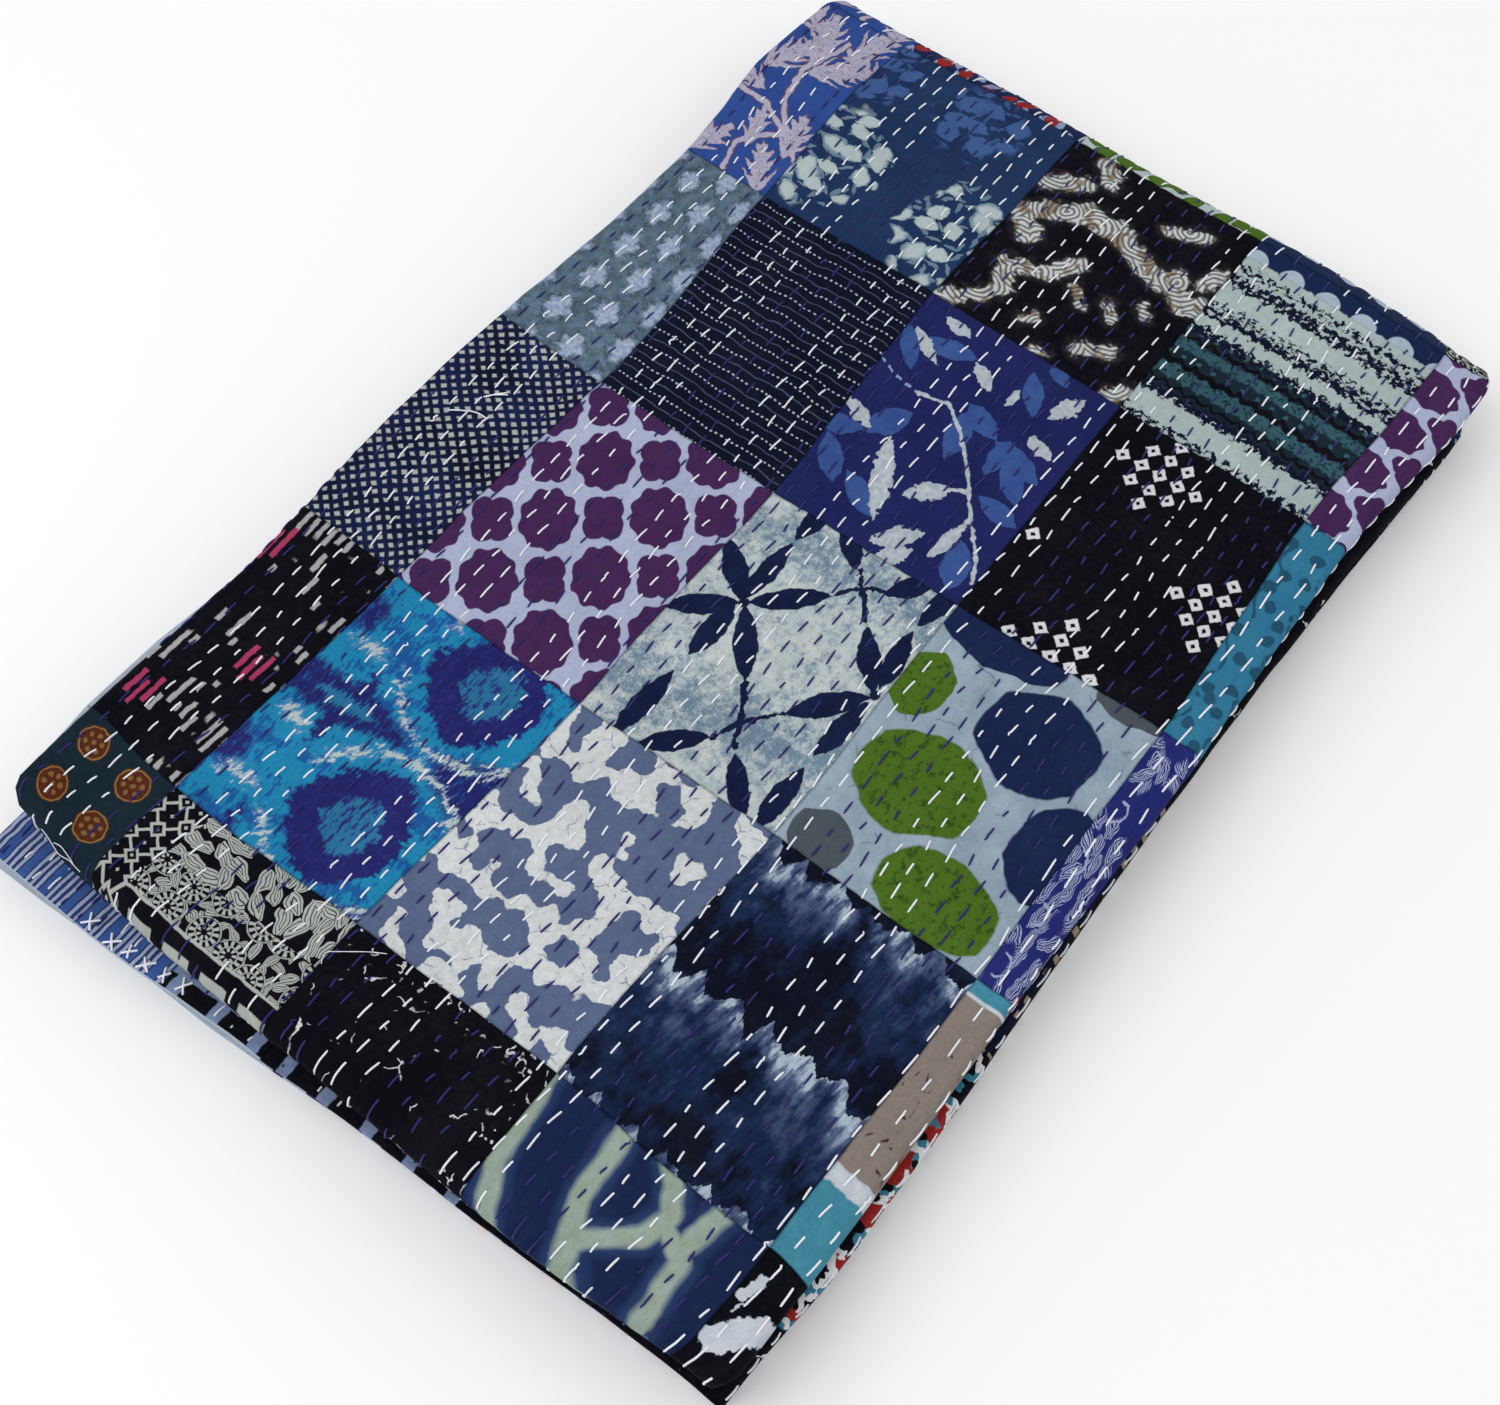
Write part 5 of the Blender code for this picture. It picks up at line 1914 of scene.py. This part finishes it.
class OBJECT_OT_quilt_cloth(bpy.types.Operator):
    """Build the folded quilt from its sizes, with its printed patches"""
    bl_idname = "object.quilt_cloth"
    bl_label = "Folded Quilt"

    def execute(self, context):
        settings = context.scene.folded_quilt
        cloth = FoldedCloth(settings.sizes)
        sheet = SheetMesh(cloth, choose_print)
        quilt = add_object("quilt_cloth", sheet.make("quilt_cloth", PrintedCotton(settings.sizes, settings.dyes)))
        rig.ride(quilt, "root")
        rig.replaces(quilt, "quilt")
        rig.slot(quilt, "quilted_cotton")
        return {"FINISHED"}


def thread_material(name, color, other):
    """Twisted cotton thread, a little different from stitch to stitch."""
    material, tree, shader = new_material(name, 0.75, 0.15, 0.1)
    coordinates = tree.nodes.new("ShaderNodeTexCoord")
    tone = tree.nodes.new("ShaderNodeAttribute")
    tone.attribute_name = "tone"
    x, y, z = parts(scaled(Field(tree, coordinates.outputs["Object"]), 1.0 / MM))
    twist = sine((x + y * 0.6 + z) * 7.0)
    # Each stitch takes a random share of the darker copy of its colour; the twist also darkens the thread along the
    # same sine that its bump follows, as painted shade in the twist grooves.
    mask = Field(tree, tone.outputs["Fac"]) * 0.45 + twist * 0.1 + 0.05
    feed(shader.inputs["Base Color"], mix(mask, (*color, 1.0), (*other, 1.0)))
    feed(shader.inputs["Normal"], bump(twist * (0.05 * MM)))
    return material


class OBJECT_OT_quilt_stitches(bpy.types.Operator):
    """Sew rows of white and violet running stitches over the quilt"""
    bl_idname = "object.quilt_stitches"
    bl_label = "Running Stitches"

    def execute(self, context):
        settings = context.scene.folded_quilt
        sizes, dyes = settings.sizes, settings.dyes
        cloth = FoldedCloth(sizes)
        tree = running_stitch_tree()
        rows = stitch_rows(cloth)
        for name, white, color, seed in (("white_stitches", True, dyes.white_thread, 3),
                                         ("violet_stitches", False, dyes.violet_thread, 8)):
            material = thread_material(name, color, [0.72 * part for part in color])
            stitches = sew(name, tree, [line for row, line in rows if is_white(row) == white], material,
                           {"Stitch Share": sizes.stitch_length / sizes.stitch_spacing,
                            "Thread": sizes.thread, "Seed": seed})
            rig.ride(stitches, "root")
            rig.slot(stitches, "quilted_cotton")
        white = bpy.data.objects["white_stitches"].data.materials[0]
        tree = thread_tree()
        for name, lines, share in (("thread_ends", loose_lines(cloth, THREAD_ENDS), 0.7),
                                   ("loose_hairs", loose_lines(cloth, HAIRS), 0.36),
                                   ("crossed_stitches", crossed_lines(cloth), 1.1)):
            threads = sew(name, tree, lines, white, {"Thread": sizes.thread * share, "Seed": 4})
            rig.ride(threads, "root")
            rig.slot(threads, "quilted_cotton")
        quilt = bpy.data.objects["quilt_cloth"]
        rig.sheet(quilt, flat=(sizes.sheet_width, sizes.sheet_length), held="folded",
                 with_pieces=[bpy.data.objects[name] for name in (
                     "white_stitches", "violet_stitches", "thread_ends", "loose_hairs", "crossed_stitches")])
        return {"FINISHED"}


CAMERA_PLACE = (-0.3462, -0.2446, 0.7450)
CAMERA_RIGHT = (0.61280, -0.79023, 0.00284)
CAMERA_UP = (0.70300, 0.54680, 0.45475)


class OBJECT_OT_quilt_stage(bpy.types.Operator):
    """Set up the floor, the soft lights and the camera"""
    bl_idname = "object.quilt_stage"
    bl_label = "Stage"

    def execute(self, context):
        settings = context.scene.folded_quilt.stage
        mesh = bpy.data.meshes.new("floor")
        mesh.from_pydata([(-6, -6, 0), (6, -6, 0), (6, 6, 0), (-6, 6, 0)], [], [(0, 1, 2, 3)])
        floor = add_object("floor", mesh)
        material, _, shader = new_material("floor", 0.9, 0.25)
        shader.inputs["Base Color"].default_value = (*settings.floor_color, 1.0)
        mesh.materials.append(material)
        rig.stage(floor)
        for name, power, size, place_at in (("key", settings.key_power, 1.6, (-0.9, 0.7, 1.7)),
                                            ("fill", settings.fill_power, 2.2, (1.3, -1.2, 1.5))):
            light = bpy.data.lights.new(name, "AREA")
            light.energy = power
            light.size = size
            lamp = bpy.data.objects.new(name, light)
            lamp.location = place_at
            lamp.rotation_euler = (-Vector(place_at)).to_track_quat("-Z", "Y").to_euler()
            context.scene.collection.objects.link(lamp)
        world = bpy.data.worlds.new("surround")
        context.scene.world = world
        world.use_nodes = True
        background = world.node_tree.nodes["Background"]
        background.inputs["Color"].default_value = (1.0, 1.0, 1.0, 1.0)
        background.inputs["Strength"].default_value = settings.surround
        camera_data = bpy.data.cameras.new("camera")
        camera_data.lens = settings.lens
        camera_data.sensor_width = 36.0
        camera_data.clip_start = 0.01
        camera = bpy.data.objects.new("camera", camera_data)
        right = Vector(CAMERA_RIGHT).normalized()
        back = right.cross(Vector(CAMERA_UP).normalized()).normalized()
        turn = Matrix((right, back.cross(right), back)).transposed()
        camera.matrix_world = Matrix.Translation(CAMERA_PLACE) @ turn.to_4x4()
        context.scene.collection.objects.link(camera)
        context.scene.camera = camera
        context.scene.view_settings.view_transform = "Standard"
        return {"FINISHED"}


class VIEW3D_PT_quilt(bpy.types.Panel):
    """Settings and builders of the folded quilt"""
    bl_idname = "VIEW3D_PT_quilt"
    bl_label = "Folded Quilt"
    bl_space_type = "VIEW_3D"
    bl_region_type = "UI"
    bl_category = "Quilt"

    def draw(self, context):
        settings = context.scene.folded_quilt
        for operator in OPERATORS:
            self.layout.operator(operator.bl_idname)
        for group in (settings.sizes, settings.dyes, settings.stage):
            box = self.layout.box()
            for name in group.__annotations__:
                box.prop(group, name)


OPERATORS = (OBJECT_OT_quilt_cloth, OBJECT_OT_quilt_stitches, OBJECT_OT_quilt_stage)
CLASSES = (QuiltSizes, QuiltDyes, StageSettings, QuiltSettings, *OPERATORS, VIEW3D_PT_quilt)


def register():
    for cls in CLASSES:
        bpy.utils.register_class(cls)
    bpy.types.Scene.folded_quilt = PointerProperty(type=QuiltSettings)


def unregister():
    del bpy.types.Scene.folded_quilt
    for cls in reversed(CLASSES):
        bpy.utils.unregister_class(cls)


def main():
    """Build the quilt and its stage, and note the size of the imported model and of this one."""
    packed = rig.bounds()
    register()
    bpy.ops.object.quilt_cloth()
    bpy.ops.object.quilt_stitches()
    bpy.ops.object.quilt_stage()
    with open("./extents.json", "w") as file:
        json.dump({"packed": [list(corner) for corner in packed],
                   "built": [list(corner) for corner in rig.bounds()]}, file)


if __name__ == "__main__":
    main()
